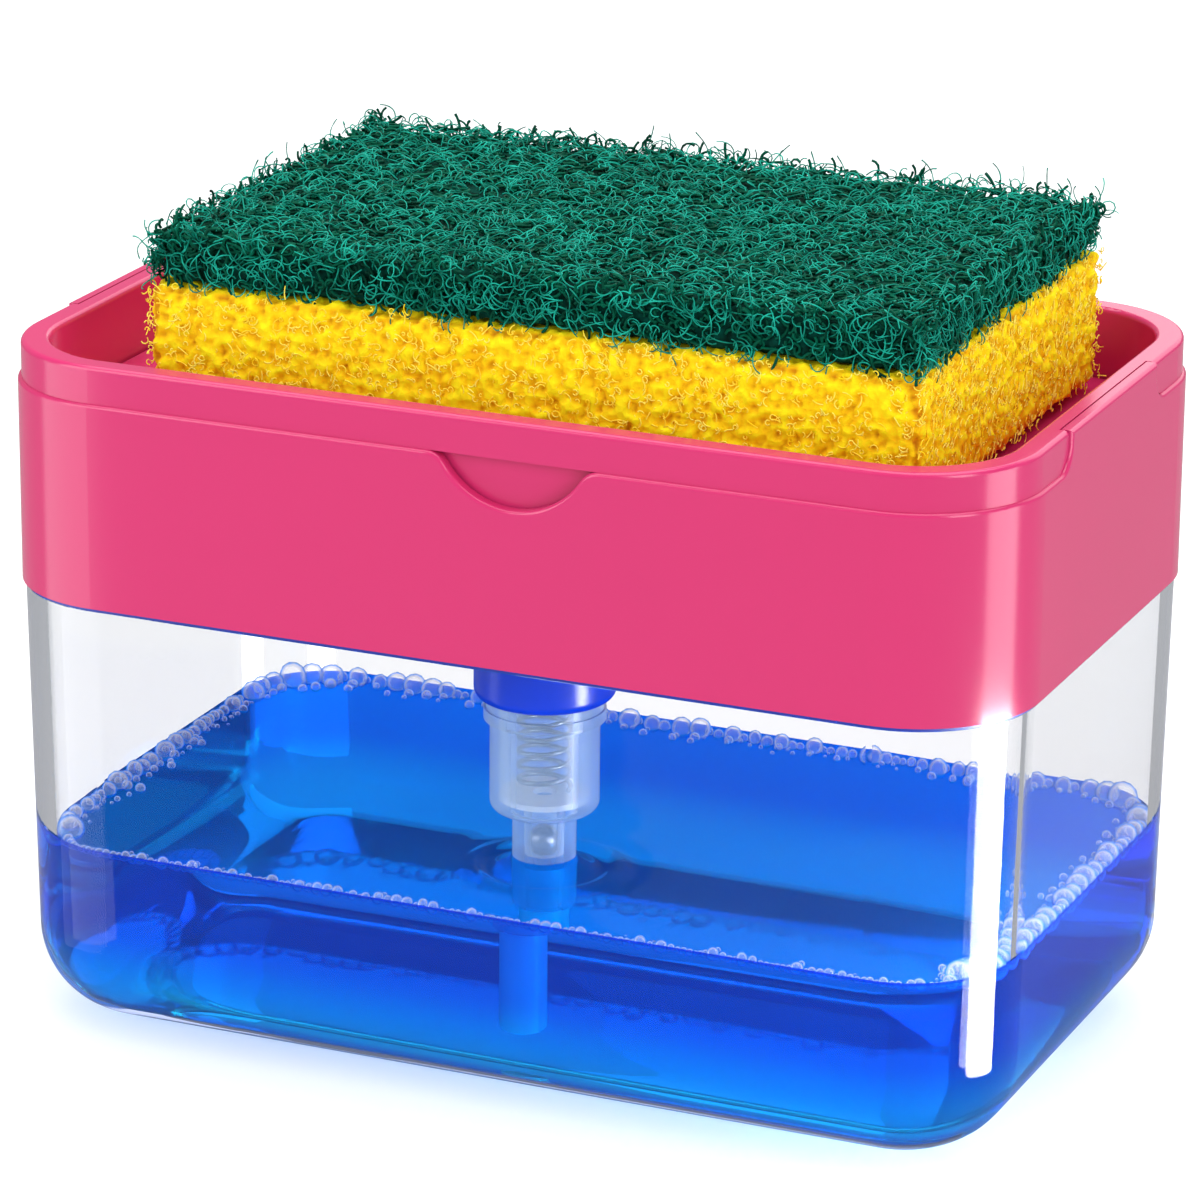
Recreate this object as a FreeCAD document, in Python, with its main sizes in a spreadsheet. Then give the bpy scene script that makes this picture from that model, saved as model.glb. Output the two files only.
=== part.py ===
"""Soap pump caddy: a clear tank of washing-up soap with a frame on its neck, and a sprung plate that pumps
soap up into the sponge lying on it. Millimetres, +Z up, origin at the middle of the tank's footprint."""

import FreeCAD
import Part
import Sketcher
import math
import os

# Driving dimensions

SIZES = {
    # tank
    "tank_height": 63.0,
    "tank_corner": 17.0,
    "tank_wall": 2.6,
    "tank_floor": 3.0,
    "tank_draft": 1.0,
    "base_round": 13.0,
    "neck_height": 6.0,
    "neck_step": 1.3,
    # seal between tank and frame
    "gasket_thick": 0.6,
    "gasket_inset": 0.15,
    # soap in the tank
    "soap_level": 26.5,
    "soap_gap": 0.15,
    # frame
    "frame_proud": 0.5,
    "frame_wall": 1.6,
    "frame_height": 28.8,
    "deck_gap": 0.3,
    "deck_thick": 2.0,
    "lip_round": 0.6,
    "tab_half_width": 17.5,
    "tab_round": 3.5,
    "notch_place": 6.2,
    "notch_half_width": 10.5,
    "notch_depth": 6.7,
    "notch_round": 3.0,
    "neck_clearance": 0.2,
    # rim that drops into the frame
    "rim_height": 5.2,
    "rim_width": 3.7,
    "rim_drop": 12.4,
    "rim_corner": 14.0,
    "rim_clearance": 0.25,
    "rim_edge_round": 0.7,
    # pressing plate
    "plate_sunk": 10.1,
    "plate_thick": 2.2,
    "plate_skirt": 7.5,
    "plate_skirt_wall": 1.8,
    "plate_clearance": 0.4,
    "rib_height": 1.0,
    "rib_width": 2.0,
    "rib_length": 62.0,
    "rib_pitch": 13.0,
    "rib_count": 8,
    "guide_place_across": 48.0,
    "guide_place_back": 20.0,
    "guide_radius": 3.0,
    "guide_wall": 1.6,
    "guide_collar": 4.0,
    "guide_overlap": 4.0,
    # pump
    "press_stroke": 8.0,
    "press_spare": 0.6,
    "pump_from_front": 25.6,
    "slide_clearance": 0.06,
    "seat_clearance": 0.05,
    "well_radius": 12.2,
    "well_wall": 1.8,
    "well_floor": 2.0,
    "well_depth": 9.3,
    "washer_thick": 0.8,
    "flange_radius": 9.8,
    "flange_thick": 1.5,
    "barrel_radius": 7.55,
    "barrel_wall": 1.25,
    "barrel_floor": 1.6,
    "barrel_length": 27.8,
    "barrel_round": 1.5,
    "thread_radius": 8.1,
    "bead_radius": 8.4,
    "bead_drop": 14.5,
    "bead_height": 1.6,
    "collar_radius": 9.75,
    "collar_height": 8.6,
    "collar_round": 1.4,
    "nose_radius": 4.4,
    "nose_length": 15.0,
    "nose_wall": 0.9,
    "nose_socket": 7.0,
    "nose_clearance": 0.4,
    "tube_wall": 0.8,
    "tube_stand_off": 3.0,
    "inlet_hole_radius": 1.6,
    "inlet_ball_radius": 2.25,
    "inlet_room": 0.6,
    "inlet_travel": 1.5,
    "spring_seat_thick": 0.8,
    "spring_radius": 3.55,
    "spring_wire": 0.7,
    "spring_turns": 6.0,
    "spring_gap": 0.3,
    "spring_room": 13.8,
    "piston_height": 6.0,
    "piston_lip": 1.4,
    "piston_waist": 0.8,
    "stem_radius": 3.0,
    "stem_bore": 1.5,
    "stem_collar_radius": 4.2,
    "stem_collar_thick": 1.2,
    "cap_thick": 3.0,
    "cap_radius": 9.0,
    "actuator_radius": 12.0,
    "actuator_thick": 3.3,
    "actuator_hub_radius": 5.2,
    "actuator_hub": 6.2,
    "stem_socket": 4.0,
    "outlet_ball_radius": 2.0,
    "outlet_room": 0.5,
    "outlet_travel": 1.0,
    "outlet_bore": 1.2,
    "nozzle_radius": 3.9,
    "nozzle_clearance": 0.2,
    "nozzle_below_ribs": 0.5,
    # sponge
    "sponge_length": 111.0,
    "sponge_depth": 71.5,
    "sponge_place": 3.8,
    "sponge_corner": 2.0,
    "sponge_end_room": 13.8,
    "sponge_side_room": 5.15,
    "foam_thick": 19.0,
    "scour_thick": 7.8,
    # how far a cut runs past the solid
    "overrun": 2.0,
}

doc = FreeCAD.newDocument("soap_pump_caddy")
sheet = doc.addObject("Spreadsheet::Sheet", "sizes")
for row, (alias, value) in enumerate(SIZES.items(), start=1):
    sheet.set(f"A{row}", alias)
    sheet.set(f"B{row}", str(value))
    sheet.setAlias(f"B{row}", alias)
doc.recompute()


def size(expression):
    """The number that an expression in the sheet's aliases has now."""
    value = sheet.evalExpression(expression)
    return float(getattr(value, "Value", value))


# Levels above the table, and outlines in plan, each worked out from the driving dimensions. The tank follows from
# the sponge, the room round it and the rim.

TANK_LENGTH = "(sizes.sponge_length + 2 * sizes.sponge_end_room + 2 * sizes.rim_width)"
TANK_DEPTH = "(sizes.sponge_depth + 2 * sizes.sponge_side_room + 2 * sizes.rim_width)"
PUMP_FORWARD = f"({TANK_DEPTH} / 2 - sizes.pump_from_front)"
NECK_TOP = "(sizes.tank_height + sizes.neck_height)"
FRAME_BOTTOM = "(sizes.tank_height + sizes.gasket_thick)"
LIP = f"({FRAME_BOTTOM} + sizes.frame_height)"
RIM_TOP = f"({LIP} + sizes.rim_height)"
DECK_BOTTOM = f"({NECK_TOP} + sizes.deck_gap)"
DECK_TOP = f"({DECK_BOTTOM} + sizes.deck_thick)"
PLATE_TOP = f"({RIM_TOP} - sizes.plate_sunk)"
PLATE_BOTTOM = f"({PLATE_TOP} - sizes.plate_thick)"
SPONGE_BOTTOM = f"({PLATE_TOP} + sizes.rib_height)"
FOAM_TOP = f"({SPONGE_BOTTOM} + sizes.foam_thick)"
WELL_BOTTOM = f"({DECK_BOTTOM} - sizes.well_depth)"
WELL_SEAT = f"({WELL_BOTTOM} + sizes.well_floor)"
FLANGE_BOTTOM = f"({WELL_SEAT} + sizes.washer_thick)"
FLANGE_TOP = f"({FLANGE_BOTTOM} + sizes.flange_thick)"
CAP_TOP = f"({FLANGE_TOP} + sizes.cap_thick)"
BARREL_BOTTOM = f"({FLANGE_BOTTOM} - sizes.barrel_length)"
CHAMBER_FLOOR = f"({BARREL_BOTTOM} + sizes.barrel_floor)"
NOSE_BOTTOM = f"({BARREL_BOTTOM} - sizes.nose_length)"
TUBE_TOP = f"({NOSE_BOTTOM} + sizes.nose_socket)"
SPRING_BOTTOM = f"({CHAMBER_FLOOR} + sizes.spring_seat_thick)"
PISTON_BOTTOM = f"({SPRING_BOTTOM} + sizes.spring_room)"
PISTON_TOP = f"({PISTON_BOTTOM} + sizes.piston_height)"
STEM_COLLAR_TOP = f"({PISTON_TOP} + sizes.stem_collar_thick)"
ACTUATOR_BOTTOM = f"({PLATE_BOTTOM} - sizes.actuator_thick)"
HUB_BOTTOM = f"({ACTUATOR_BOTTOM} - sizes.actuator_hub)"
STEM_TOP = f"({HUB_BOTTOM} + sizes.stem_socket)"

TANK_INNER_LENGTH = f"({TANK_LENGTH} - 2 * sizes.tank_wall)"
TANK_INNER_DEPTH = f"({TANK_DEPTH} - 2 * sizes.tank_wall)"
TANK_INNER_CORNER = "(sizes.tank_corner - sizes.tank_wall)"
NECK_LENGTH = f"({TANK_LENGTH} - 2 * sizes.neck_step)"
NECK_DEPTH = f"({TANK_DEPTH} - 2 * sizes.neck_step)"
NECK_CORNER = "(sizes.tank_corner - sizes.neck_step)"
FRAME_LENGTH = f"({TANK_LENGTH} + 2 * sizes.frame_proud)"
FRAME_DEPTH = f"({TANK_DEPTH} + 2 * sizes.frame_proud)"
FRAME_CORNER = "(sizes.tank_corner + sizes.frame_proud)"
FRAME_INNER_LENGTH = f"({FRAME_LENGTH} - 2 * sizes.frame_wall)"
FRAME_INNER_DEPTH = f"({FRAME_DEPTH} - 2 * sizes.frame_wall)"
FRAME_INNER_CORNER = f"({FRAME_CORNER} - sizes.frame_wall)"
RIM_WALL_LENGTH = f"({FRAME_INNER_LENGTH} - 2 * sizes.rim_clearance)"
RIM_WALL_DEPTH = f"({FRAME_INNER_DEPTH} - 2 * sizes.rim_clearance)"
RIM_WALL_CORNER = f"({FRAME_INNER_CORNER} - sizes.rim_clearance)"
RIM_INNER_LENGTH = f"({TANK_LENGTH} - 2 * sizes.rim_width)"
RIM_INNER_DEPTH = f"({TANK_DEPTH} - 2 * sizes.rim_width)"
PLATE_LENGTH = f"({RIM_INNER_LENGTH} - 2 * sizes.plate_clearance)"
PLATE_DEPTH = f"({RIM_INNER_DEPTH} - 2 * sizes.plate_clearance)"
PLATE_CORNER = "(sizes.rim_corner - sizes.plate_clearance)"
BARREL_BORE = "(sizes.barrel_radius - sizes.barrel_wall)"
WELL_BORE = "(sizes.well_radius - sizes.well_wall)"
TUBE_RADIUS = "(sizes.nose_radius - sizes.nose_wall - sizes.seat_clearance)"
GUIDE_BORE = "(sizes.guide_radius + sizes.slide_clearance)"
GUIDE_OUTER = f"({GUIDE_BORE} + sizes.guide_wall)"


# Sketches and features

def body_named(label):
    body = doc.addObject("PartDesign::Body", label)
    body.Label = label
    return body


def plane(body, role):
    return next(item for item in body.Origin.OriginFeatures if item.Role == role)


def sketch_on(body, name, role="XY_Plane", level="0"):
    """A sketch on one of the body's own planes, raised along that plane's normal."""
    sketch = body.newObject("Sketcher::SketchObject", name)
    sketch.AttachmentSupport = [(plane(body, role), "")]
    sketch.MapMode = "FlatFace"
    if level != "0":
        sketch.setExpression("AttachmentOffset.Base.z", level)
    doc.recompute()
    return sketch


def bind(sketch, constraint, expression):
    """Adds a constraint whose last number follows an expression."""
    index = sketch.addConstraint(Sketcher.Constraint(*constraint, size(expression)))
    sketch.setExpression(f"Constraints[{index}]", expression)


def rounded_rectangle(sketch, length, depth, radius):
    """A rectangle with round corners about the sketch's origin."""
    half_x = size(length) / 2
    half_y = size(depth) / 2
    arm = size(radius)
    first = sketch.GeometryCount
    corners = [(half_x, -half_y, -90), (half_x, half_y, 0), (-half_x, half_y, 90), (-half_x, -half_y, 180)]
    ends = []
    for x, y, start in corners:
        centre = FreeCAD.Vector(x - math.copysign(arm, x), y - math.copysign(arm, y), 0)
        circle = Part.Circle(centre, FreeCAD.Vector(0, 0, 1), arm)
        arc = Part.ArcOfCircle(circle, math.radians(start), math.radians(start + 90))
        ends.append((arc.StartPoint, arc.EndPoint))
        sketch.addGeometry(arc, False)
    for corner in range(4):
        following = (corner + 1) % 4
        sketch.addGeometry(Part.LineSegment(ends[corner][1], ends[following][0]), False)
        arc = first + corner
        line = first + 4 + corner
        sketch.addConstraint(Sketcher.Constraint("Tangent", arc, 2, line, 1))
        sketch.addConstraint(Sketcher.Constraint("Tangent", line, 2, first + following, 1))
        direction = "Vertical" if corner % 2 == 0 else "Horizontal"
        sketch.addConstraint(Sketcher.Constraint(direction, line))
    for corner in range(1, 4):
        sketch.addConstraint(Sketcher.Constraint("Equal", first, first + corner))
    sketch.addConstraint(Sketcher.Constraint("Symmetric", first, 3, first + 2, 3, -1, 1))
    bind(sketch, ("Radius", first), radius)
    bind(sketch, ("DistanceX", first + 6, 1, first + 4, 1), length)
    bind(sketch, ("DistanceY", first + 7, 1, first + 5, 1), depth)


def fix_point(sketch, geometry, end, across, along):
    """Holds one end of a line at a place, each coordinate an expression."""
    if across == "0":
        sketch.addConstraint(Sketcher.Constraint("PointOnObject", geometry, end, -2))
    else:
        bind(sketch, ("DistanceX", -1, 1, geometry, end), across)
    if along == "0":
        sketch.addConstraint(Sketcher.Constraint("PointOnObject", geometry, end, -1))
    else:
        bind(sketch, ("DistanceY", -1, 1, geometry, end), along)


def outline(sketch, points):
    """A closed outline of straight lines through points whose coordinates are expressions."""
    places = [FreeCAD.Vector(size(across), size(along), 0) for across, along in points]
    first = sketch.GeometryCount
    count = len(points)
    for index in range(count):
        sketch.addGeometry(Part.LineSegment(places[index], places[(index + 1) % count]), False)
    for index in range(count):
        following = first + (index + 1) % count
        sketch.addConstraint(Sketcher.Constraint("Coincident", first + index, 2, following, 1))
    for index, (across, along) in enumerate(points):
        fix_point(sketch, first + index, 1, across, along)


def circle_at(sketch, radius, across="0", along="0"):
    place = FreeCAD.Vector(size(across), size(along), 0)
    index = sketch.addGeometry(Part.Circle(place, FreeCAD.Vector(0, 0, 1), size(radius)), False)
    bind(sketch, ("Radius", index), radius)
    fix_point(sketch, index, 3, across, along)


def pad(body, name, sketch, length, downwards=False, draft=None):
    feature = body.newObject("PartDesign::Pad", name)
    feature.Profile = sketch
    feature.Reversed = downwards
    feature.setExpression("Length", length)
    if draft:
        feature.setExpression("TaperAngle", draft)
    doc.recompute()
    return feature


def pocket(body, name, sketch, length, upwards=False, both_ways=False, draft=None):
    """Cuts a sketch downwards from its plane, and stops if that removed nothing."""
    before = body.Shape.Volume
    feature = body.newObject("PartDesign::Pocket", name)
    feature.Profile = sketch
    feature.Reversed = upwards
    feature.Midplane = both_ways
    feature.setExpression("Length", length)
    if draft:
        feature.setExpression("TaperAngle", draft)
    doc.recompute()
    if body.Shape.Volume >= before:
        raise RuntimeError(f"{name} cut nothing")
    return feature


def round_edges(body, name, radius, wanted):
    """Rounds the edges of the body's shape that a test picks."""
    shape = body.Shape
    names = [f"Edge{index}" for index, edge in enumerate(shape.Edges, start=1) if wanted(edge)]
    feature = body.newObject("PartDesign::Fillet", name)
    feature.Base = (body.Tip if body.Tip != feature else feature.BaseFeature, names)
    feature.setExpression("Radius", radius)
    doc.recompute()
    return feature


def level_edge(level):
    """Picks the edges that lie flat at one height."""
    height = size(level)
    near = size("sizes.seat_clearance")
    return lambda edge: max(abs(vertex.Z - height) for vertex in edge.Vertexes) < near and is_flat(edge)


def is_flat(edge):
    box = edge.BoundBox
    return box.ZLength < size("sizes.seat_clearance")


def turned(label, points):
    """A piece turned about the pump's axis from its half section of radii and heights."""
    body = body_named(label)
    sketch = sketch_on(body, f"{label}_section", "XZ_Plane")
    outline(sketch, points)
    feature = body.newObject("PartDesign::Revolution", f"{label}_turn")
    feature.Profile = sketch
    feature.ReferenceAxis = (sketch, ["V_Axis"])
    feature.Angle = 360
    doc.recompute()
    on_pump_axis(body)
    return body


def on_pump_axis(piece):
    piece.setExpression("Placement.Base.y", f"-{PUMP_FORWARD}")


# Tank: an open box with draft, a round base, and a thinner neck that the frame slips over

def make_tank():
    body = body_named("tank")
    shell = sketch_on(body, "tank_outline", level="sizes.tank_height")
    rounded_rectangle(shell, TANK_LENGTH, TANK_DEPTH, "sizes.tank_corner")
    pad(body, "tank_walls", shell, "sizes.tank_height", downwards=True, draft="-sizes.tank_draft")
    neck = sketch_on(body, "neck_outline", level="sizes.tank_height")
    rounded_rectangle(neck, NECK_LENGTH, NECK_DEPTH, NECK_CORNER)
    pad(body, "neck", neck, "sizes.neck_height")
    hollow = sketch_on(body, "hollow_outline", level=NECK_TOP)
    rounded_rectangle(hollow, TANK_INNER_LENGTH, TANK_INNER_DEPTH, TANK_INNER_CORNER)
    pocket(body, "hollow", hollow, f"{NECK_TOP} - sizes.tank_floor", draft="-sizes.tank_draft")
    inner_round = "sizes.base_round - sizes.tank_wall"
    round_edges(body, "hollow_base", inner_round, level_edge("sizes.tank_floor"))
    round_edges(body, "tank_base", "sizes.base_round", level_edge("0"))
    return body


# Gasket: a flat ring on the tank's shoulder, round the neck

def make_gasket():
    body = body_named("tank_gasket")
    ring = sketch_on(body, "gasket_outline", level="sizes.tank_height")
    inset = "2 * sizes.gasket_inset"
    rounded_rectangle(ring, f"{TANK_LENGTH} - {inset}", f"{TANK_DEPTH} - {inset}",
                      "sizes.tank_corner - sizes.gasket_inset")
    rounded_rectangle(ring, f"{NECK_LENGTH} + {inset}", f"{NECK_DEPTH} + {inset}",
                      f"{NECK_CORNER} + sizes.gasket_inset")
    pad(body, "gasket_ring", ring, "sizes.gasket_thick")
    return body


# Soap: the liquid up to its level, with room round the pump's nose and tube

def make_soap():
    body = body_named("liquid_soap")
    fall = f"(({NECK_TOP} - sizes.soap_level) * tan(sizes.tank_draft * 1 deg))"
    narrower = f"2 * ({fall} + sizes.soap_gap)"
    level = sketch_on(body, "soap_outline", level="sizes.soap_level")
    rounded_rectangle(level, f"{TANK_INNER_LENGTH} - {narrower}", f"{TANK_INNER_DEPTH} - {narrower}",
                      f"{TANK_INNER_CORNER} - {fall} - sizes.soap_gap")
    soap_bottom = "(sizes.tank_floor + sizes.soap_gap)"
    pad(body, "soap_fill", level, f"sizes.soap_level - {soap_bottom}", downwards=True, draft="-sizes.tank_draft")
    round_edges(body, "soap_base", "sizes.base_round - sizes.tank_wall", level_edge(soap_bottom))
    column = sketch_on(body, "nose_column", level="sizes.soap_level")
    circle_at(column, "sizes.nose_radius + sizes.nose_clearance", along=f"-{PUMP_FORWARD}")
    pocket(body, "nose_hole", column, "sizes.soap_level")
    return body


# Frame: the coloured skirt, its raised end tabs, the thumb notch, the deck and the pump's well

def lip_cut(body, side):
    """Lowers the front or the back of the wall to the lip, and sweeps up into the end tabs."""
    name = "front" if side < 0 else "back"
    sketch = sketch_on(body, f"{name}_lip_section", "YZ_Plane")
    sign = "-" if side < 0 else ""
    tab = f"{sign}sizes.tab_half_width"
    sweep = f"{sign}(sizes.tab_half_width + sizes.tab_round)"
    outside = f"{sign}({FRAME_DEPTH} / 2 + sizes.overrun)"
    above = f"{RIM_TOP} + sizes.overrun"
    turn = f"{LIP} + sizes.tab_round"
    centre = FreeCAD.Vector(size(sweep), size(turn), 0)
    circle = Part.Circle(centre, FreeCAD.Vector(0, 0, 1), size("sizes.tab_round"))
    start, end = (270, 360) if side < 0 else (180, 270)
    arc = sketch.addGeometry(Part.ArcOfCircle(circle, math.radians(start), math.radians(end)), False)
    low, high = (1, 2) if side < 0 else (2, 1)
    corners = [(sweep, LIP), (outside, LIP), (outside, above), (tab, above), (tab, turn)]
    places = [FreeCAD.Vector(size(across), size(along), 0) for across, along in corners]
    lines = [sketch.addGeometry(Part.LineSegment(a, b), False) for a, b in zip(places, places[1:])]
    for one, other in zip(lines, lines[1:]):
        sketch.addConstraint(Sketcher.Constraint("Coincident", one, 2, other, 1))
    sketch.addConstraint(Sketcher.Constraint("Tangent", lines[0], 1, arc, low))
    sketch.addConstraint(Sketcher.Constraint("Tangent", lines[3], 2, arc, high))
    for line, direction in zip(lines, ("Horizontal", "Vertical", "Horizontal", "Vertical")):
        sketch.addConstraint(Sketcher.Constraint(direction, line))
    bind(sketch, ("Radius", arc), "sizes.tab_round")
    bind(sketch, ("DistanceX", -1, 1, lines[3], 1), tab)
    bind(sketch, ("DistanceY", -1, 1, lines[3], 1), above)
    bind(sketch, ("DistanceX", -1, 1, lines[1], 1), outside)
    bind(sketch, ("DistanceY", -1, 1, lines[1], 1), LIP)
    pocket(body, f"{name}_lip", sketch, f"{FRAME_LENGTH} + 2 * sizes.overrun", both_ways=True)


def thumb_notch(body):
    """A round notch in the front wall, with soft shoulders, where a thumb reaches the rim."""
    sketch = sketch_on(body, "notch_section", "XZ_Plane")
    bowl = "((sizes.notch_half_width ^ 2 + sizes.notch_depth ^ 2) / (2 * sizes.notch_depth))"
    bowl_centre = f"({LIP} - sizes.notch_depth + {bowl})"
    centre_z = size(bowl_centre)
    radius = size(bowl)
    soft = size("sizes.notch_round")
    middle = size("sizes.notch_place")
    lip = size(LIP)
    reach = math.sqrt((radius + soft) ** 2 - (centre_z - lip + soft) ** 2)
    left = FreeCAD.Vector(middle - reach, lip - soft, 0)
    right = FreeCAD.Vector(middle + reach, lip - soft, 0)
    axis = FreeCAD.Vector(0, 0, 1)
    lean = math.atan2(centre_z - left.y, middle - left.x)
    bowl_arc = sketch.addGeometry(Part.ArcOfCircle(
        Part.Circle(FreeCAD.Vector(middle, centre_z, 0), axis, radius), math.pi + lean, 2 * math.pi - lean), False)
    left_arc = sketch.addGeometry(Part.ArcOfCircle(Part.Circle(left, axis, soft), lean, math.pi / 2), False)
    right_arc = sketch.addGeometry(Part.ArcOfCircle(
        Part.Circle(right, axis, soft), math.pi / 2, math.pi - lean), False)
    top = size(f"{LIP} + sizes.overrun")
    places = [FreeCAD.Vector(right.x, lip, 0), FreeCAD.Vector(right.x, top, 0),
              FreeCAD.Vector(left.x, top, 0), FreeCAD.Vector(left.x, lip, 0)]
    up, across, down = [sketch.addGeometry(Part.LineSegment(a, b), False) for a, b in zip(places, places[1:])]
    for constraint in (
        ("Tangent", left_arc, 1, bowl_arc, 1),
        ("Tangent", bowl_arc, 2, right_arc, 2),
        ("Coincident", right_arc, 1, up, 1),
        ("Coincident", up, 2, across, 1),
        ("Coincident", across, 2, down, 1),
        ("Coincident", down, 2, left_arc, 2),
        ("Vertical", up),
        ("Horizontal", across),
        ("Vertical", down),
        ("Vertical", left_arc, 3, left_arc, 2),
        ("Vertical", right_arc, 3, right_arc, 1),
        ("Equal", left_arc, right_arc),
    ):
        sketch.addConstraint(Sketcher.Constraint(*constraint))
    bind(sketch, ("Radius", left_arc), "sizes.notch_round")
    bind(sketch, ("Radius", bowl_arc), bowl)
    bind(sketch, ("DistanceX", -1, 1, bowl_arc, 3), "sizes.notch_place")
    bind(sketch, ("DistanceY", -1, 1, bowl_arc, 3), bowl_centre)
    bind(sketch, ("DistanceY", -1, 1, up, 1), LIP)
    bind(sketch, ("DistanceY", -1, 1, down, 2), LIP)
    bind(sketch, ("DistanceY", -1, 1, across, 1), f"{LIP} + sizes.overrun")
    pocket(body, "thumb_notch", sketch, f"{FRAME_DEPTH} / 2 + sizes.overrun", upwards=True)


def make_frame():
    body = body_named("top_frame")
    wall = sketch_on(body, "frame_outline", level=FRAME_BOTTOM)
    rounded_rectangle(wall, FRAME_LENGTH, FRAME_DEPTH, FRAME_CORNER)
    rounded_rectangle(wall, FRAME_INNER_LENGTH, FRAME_INNER_DEPTH, FRAME_INNER_CORNER)
    pad(body, "frame_wall", wall, f"{RIM_TOP} - {FRAME_BOTTOM}")
    lip_cut(body, -1)
    lip_cut(body, 1)
    thumb_notch(body)
    deck = sketch_on(body, "deck_outline", level=DECK_BOTTOM)
    rounded_rectangle(deck, f"{FRAME_INNER_LENGTH} + sizes.frame_wall", f"{FRAME_INNER_DEPTH} + sizes.frame_wall",
                      f"{FRAME_INNER_CORNER} + sizes.frame_wall / 2")
    pad(body, "deck", deck, "sizes.deck_thick")
    well = sketch_on(body, "well_outline", level=WELL_BOTTOM)
    circle_at(well, "sizes.well_radius", along=f"-{PUMP_FORWARD}")
    pad(body, "well", well, f"{DECK_TOP} - {WELL_BOTTOM}")
    well_bore = sketch_on(body, "well_bore_outline", level=DECK_TOP)
    circle_at(well_bore, WELL_BORE, along=f"-{PUMP_FORWARD}")
    pocket(body, "well_bore", well_bore, f"{DECK_TOP} - {WELL_SEAT}")
    pump_hole = sketch_on(body, "pump_hole_outline", level=WELL_SEAT)
    circle_at(pump_hole, "sizes.thread_radius + sizes.seat_clearance", along=f"-{PUMP_FORWARD}")
    pocket(body, "pump_hole", pump_hole, "sizes.well_floor")
    guides = sketch_on(body, "guide_outline", level=GUIDE_BOTTOM)
    for side in ("", "-"):
        circle_at(guides, GUIDE_OUTER, f"{side}sizes.guide_place_across", "sizes.guide_place_back")
    pad(body, "guide_wells", guides, f"{DECK_TOP} + sizes.guide_collar - {GUIDE_BOTTOM}")
    bores = sketch_on(body, "guide_bore_outline", level=f"{DECK_TOP} + sizes.guide_collar")
    for side in ("", "-"):
        circle_at(bores, GUIDE_BORE, f"{side}sizes.guide_place_across", "sizes.guide_place_back")
    pocket(body, "guide_bores", bores, f"{DECK_TOP} + sizes.guide_collar - {GUIDE_BOTTOM} - sizes.guide_wall")
    round_edges(body, "lip_edge", "sizes.lip_round", is_lip_edge)
    return body


def is_lip_edge(edge):
    """Picks the outer edges of the lip, the notch and the tabs, and leaves the smooth seams of the corners."""
    near = size("sizes.seat_clearance")
    length = size(FRAME_LENGTH) / 2
    depth = size(FRAME_DEPTH) / 2
    corner = size(FRAME_CORNER)
    bottom = size(f"{LIP} - sizes.notch_depth") - near
    first, last = edge.ParameterRange
    for step in range(5):
        point = edge.valueAt(first + (last - first) * step / 4)
        past_x = max(abs(point.x) - (length - corner), 0)
        past_y = max(abs(point.y) - (depth - corner), 0)
        if abs(math.hypot(past_x, past_y) - corner) > near or point.z < bottom:
            return False
    box = edge.BoundBox
    upright = box.XLength < near and box.YLength < near
    seam = abs(box.XMax) < length - near and abs(box.YMax) < depth - near
    on_tab = abs(abs(box.YMax) - size("sizes.tab_half_width")) < near
    return on_tab if upright else not seam or not upright


POST_BOTTOM = f"({DECK_TOP} + sizes.guide_collar - sizes.guide_overlap)"
GUIDE_BOTTOM = f"({POST_BOTTOM} - sizes.press_stroke - sizes.press_spare - sizes.guide_wall)"


# Rim: the ring round the sponge, seated on the frame's lip and cut back for the end tabs

def make_rim():
    body = body_named("rim_tray")
    band = sketch_on(body, "band_outline", level=LIP)
    rounded_rectangle(band, TANK_LENGTH, TANK_DEPTH, "sizes.tank_corner")
    pad(body, "band", band, "sizes.rim_height")
    wall = sketch_on(body, "rim_wall_outline", level=LIP)
    rounded_rectangle(wall, RIM_WALL_LENGTH, RIM_WALL_DEPTH, RIM_WALL_CORNER)
    pad(body, "rim_wall", wall, "sizes.rim_drop", downwards=True)
    opening = sketch_on(body, "rim_opening_outline", level=RIM_TOP)
    rounded_rectangle(opening, RIM_INNER_LENGTH, RIM_INNER_DEPTH, "sizes.rim_corner")
    pocket(body, "rim_opening", opening, "sizes.rim_height + sizes.rim_drop")
    for side in ("", "-"):
        name = "right" if side == "" else "left"
        sketch = sketch_on(body, f"{name}_tab_outline", level=RIM_TOP)
        inside = f"{side}({RIM_WALL_LENGTH} / 2)"
        outside = f"{side}({TANK_LENGTH} / 2 + sizes.overrun)"
        reach = "(sizes.tab_half_width + sizes.rim_clearance)"
        outline(sketch, [(inside, f"-{reach}"), (outside, f"-{reach}"), (outside, reach), (inside, reach)])
        pocket(body, f"{name}_tab_slot", sketch, "sizes.rim_height")
    low = level_edge(LIP)
    corner = size("sizes.tab_half_width + sizes.rim_clearance")
    near = size("sizes.seat_clearance")
    round_edges(body, "tab_slot_corners", "sizes.tab_round",
                lambda edge: low(edge) and edge.BoundBox.YLength < near and abs(abs(edge.CenterOfMass.y) - corner) < near)
    top = level_edge(RIM_TOP)
    slot = size(f"{RIM_WALL_LENGTH} / 2")
    tab = size("sizes.tab_half_width + sizes.rim_clearance + sizes.seat_clearance")

    def is_rim_edge(edge):
        box = edge.BoundBox
        in_slot = max(abs(box.XMin), abs(box.XMax)) > slot - size("sizes.seat_clearance") and abs(box.Center.y) < tab
        return top(edge) and not in_slot

    round_edges(body, "rim_edge", "sizes.rim_edge_round", is_rim_edge)
    return body


# Plate: a ribbed floor with a skirt, an outlet hole and two guide posts

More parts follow.
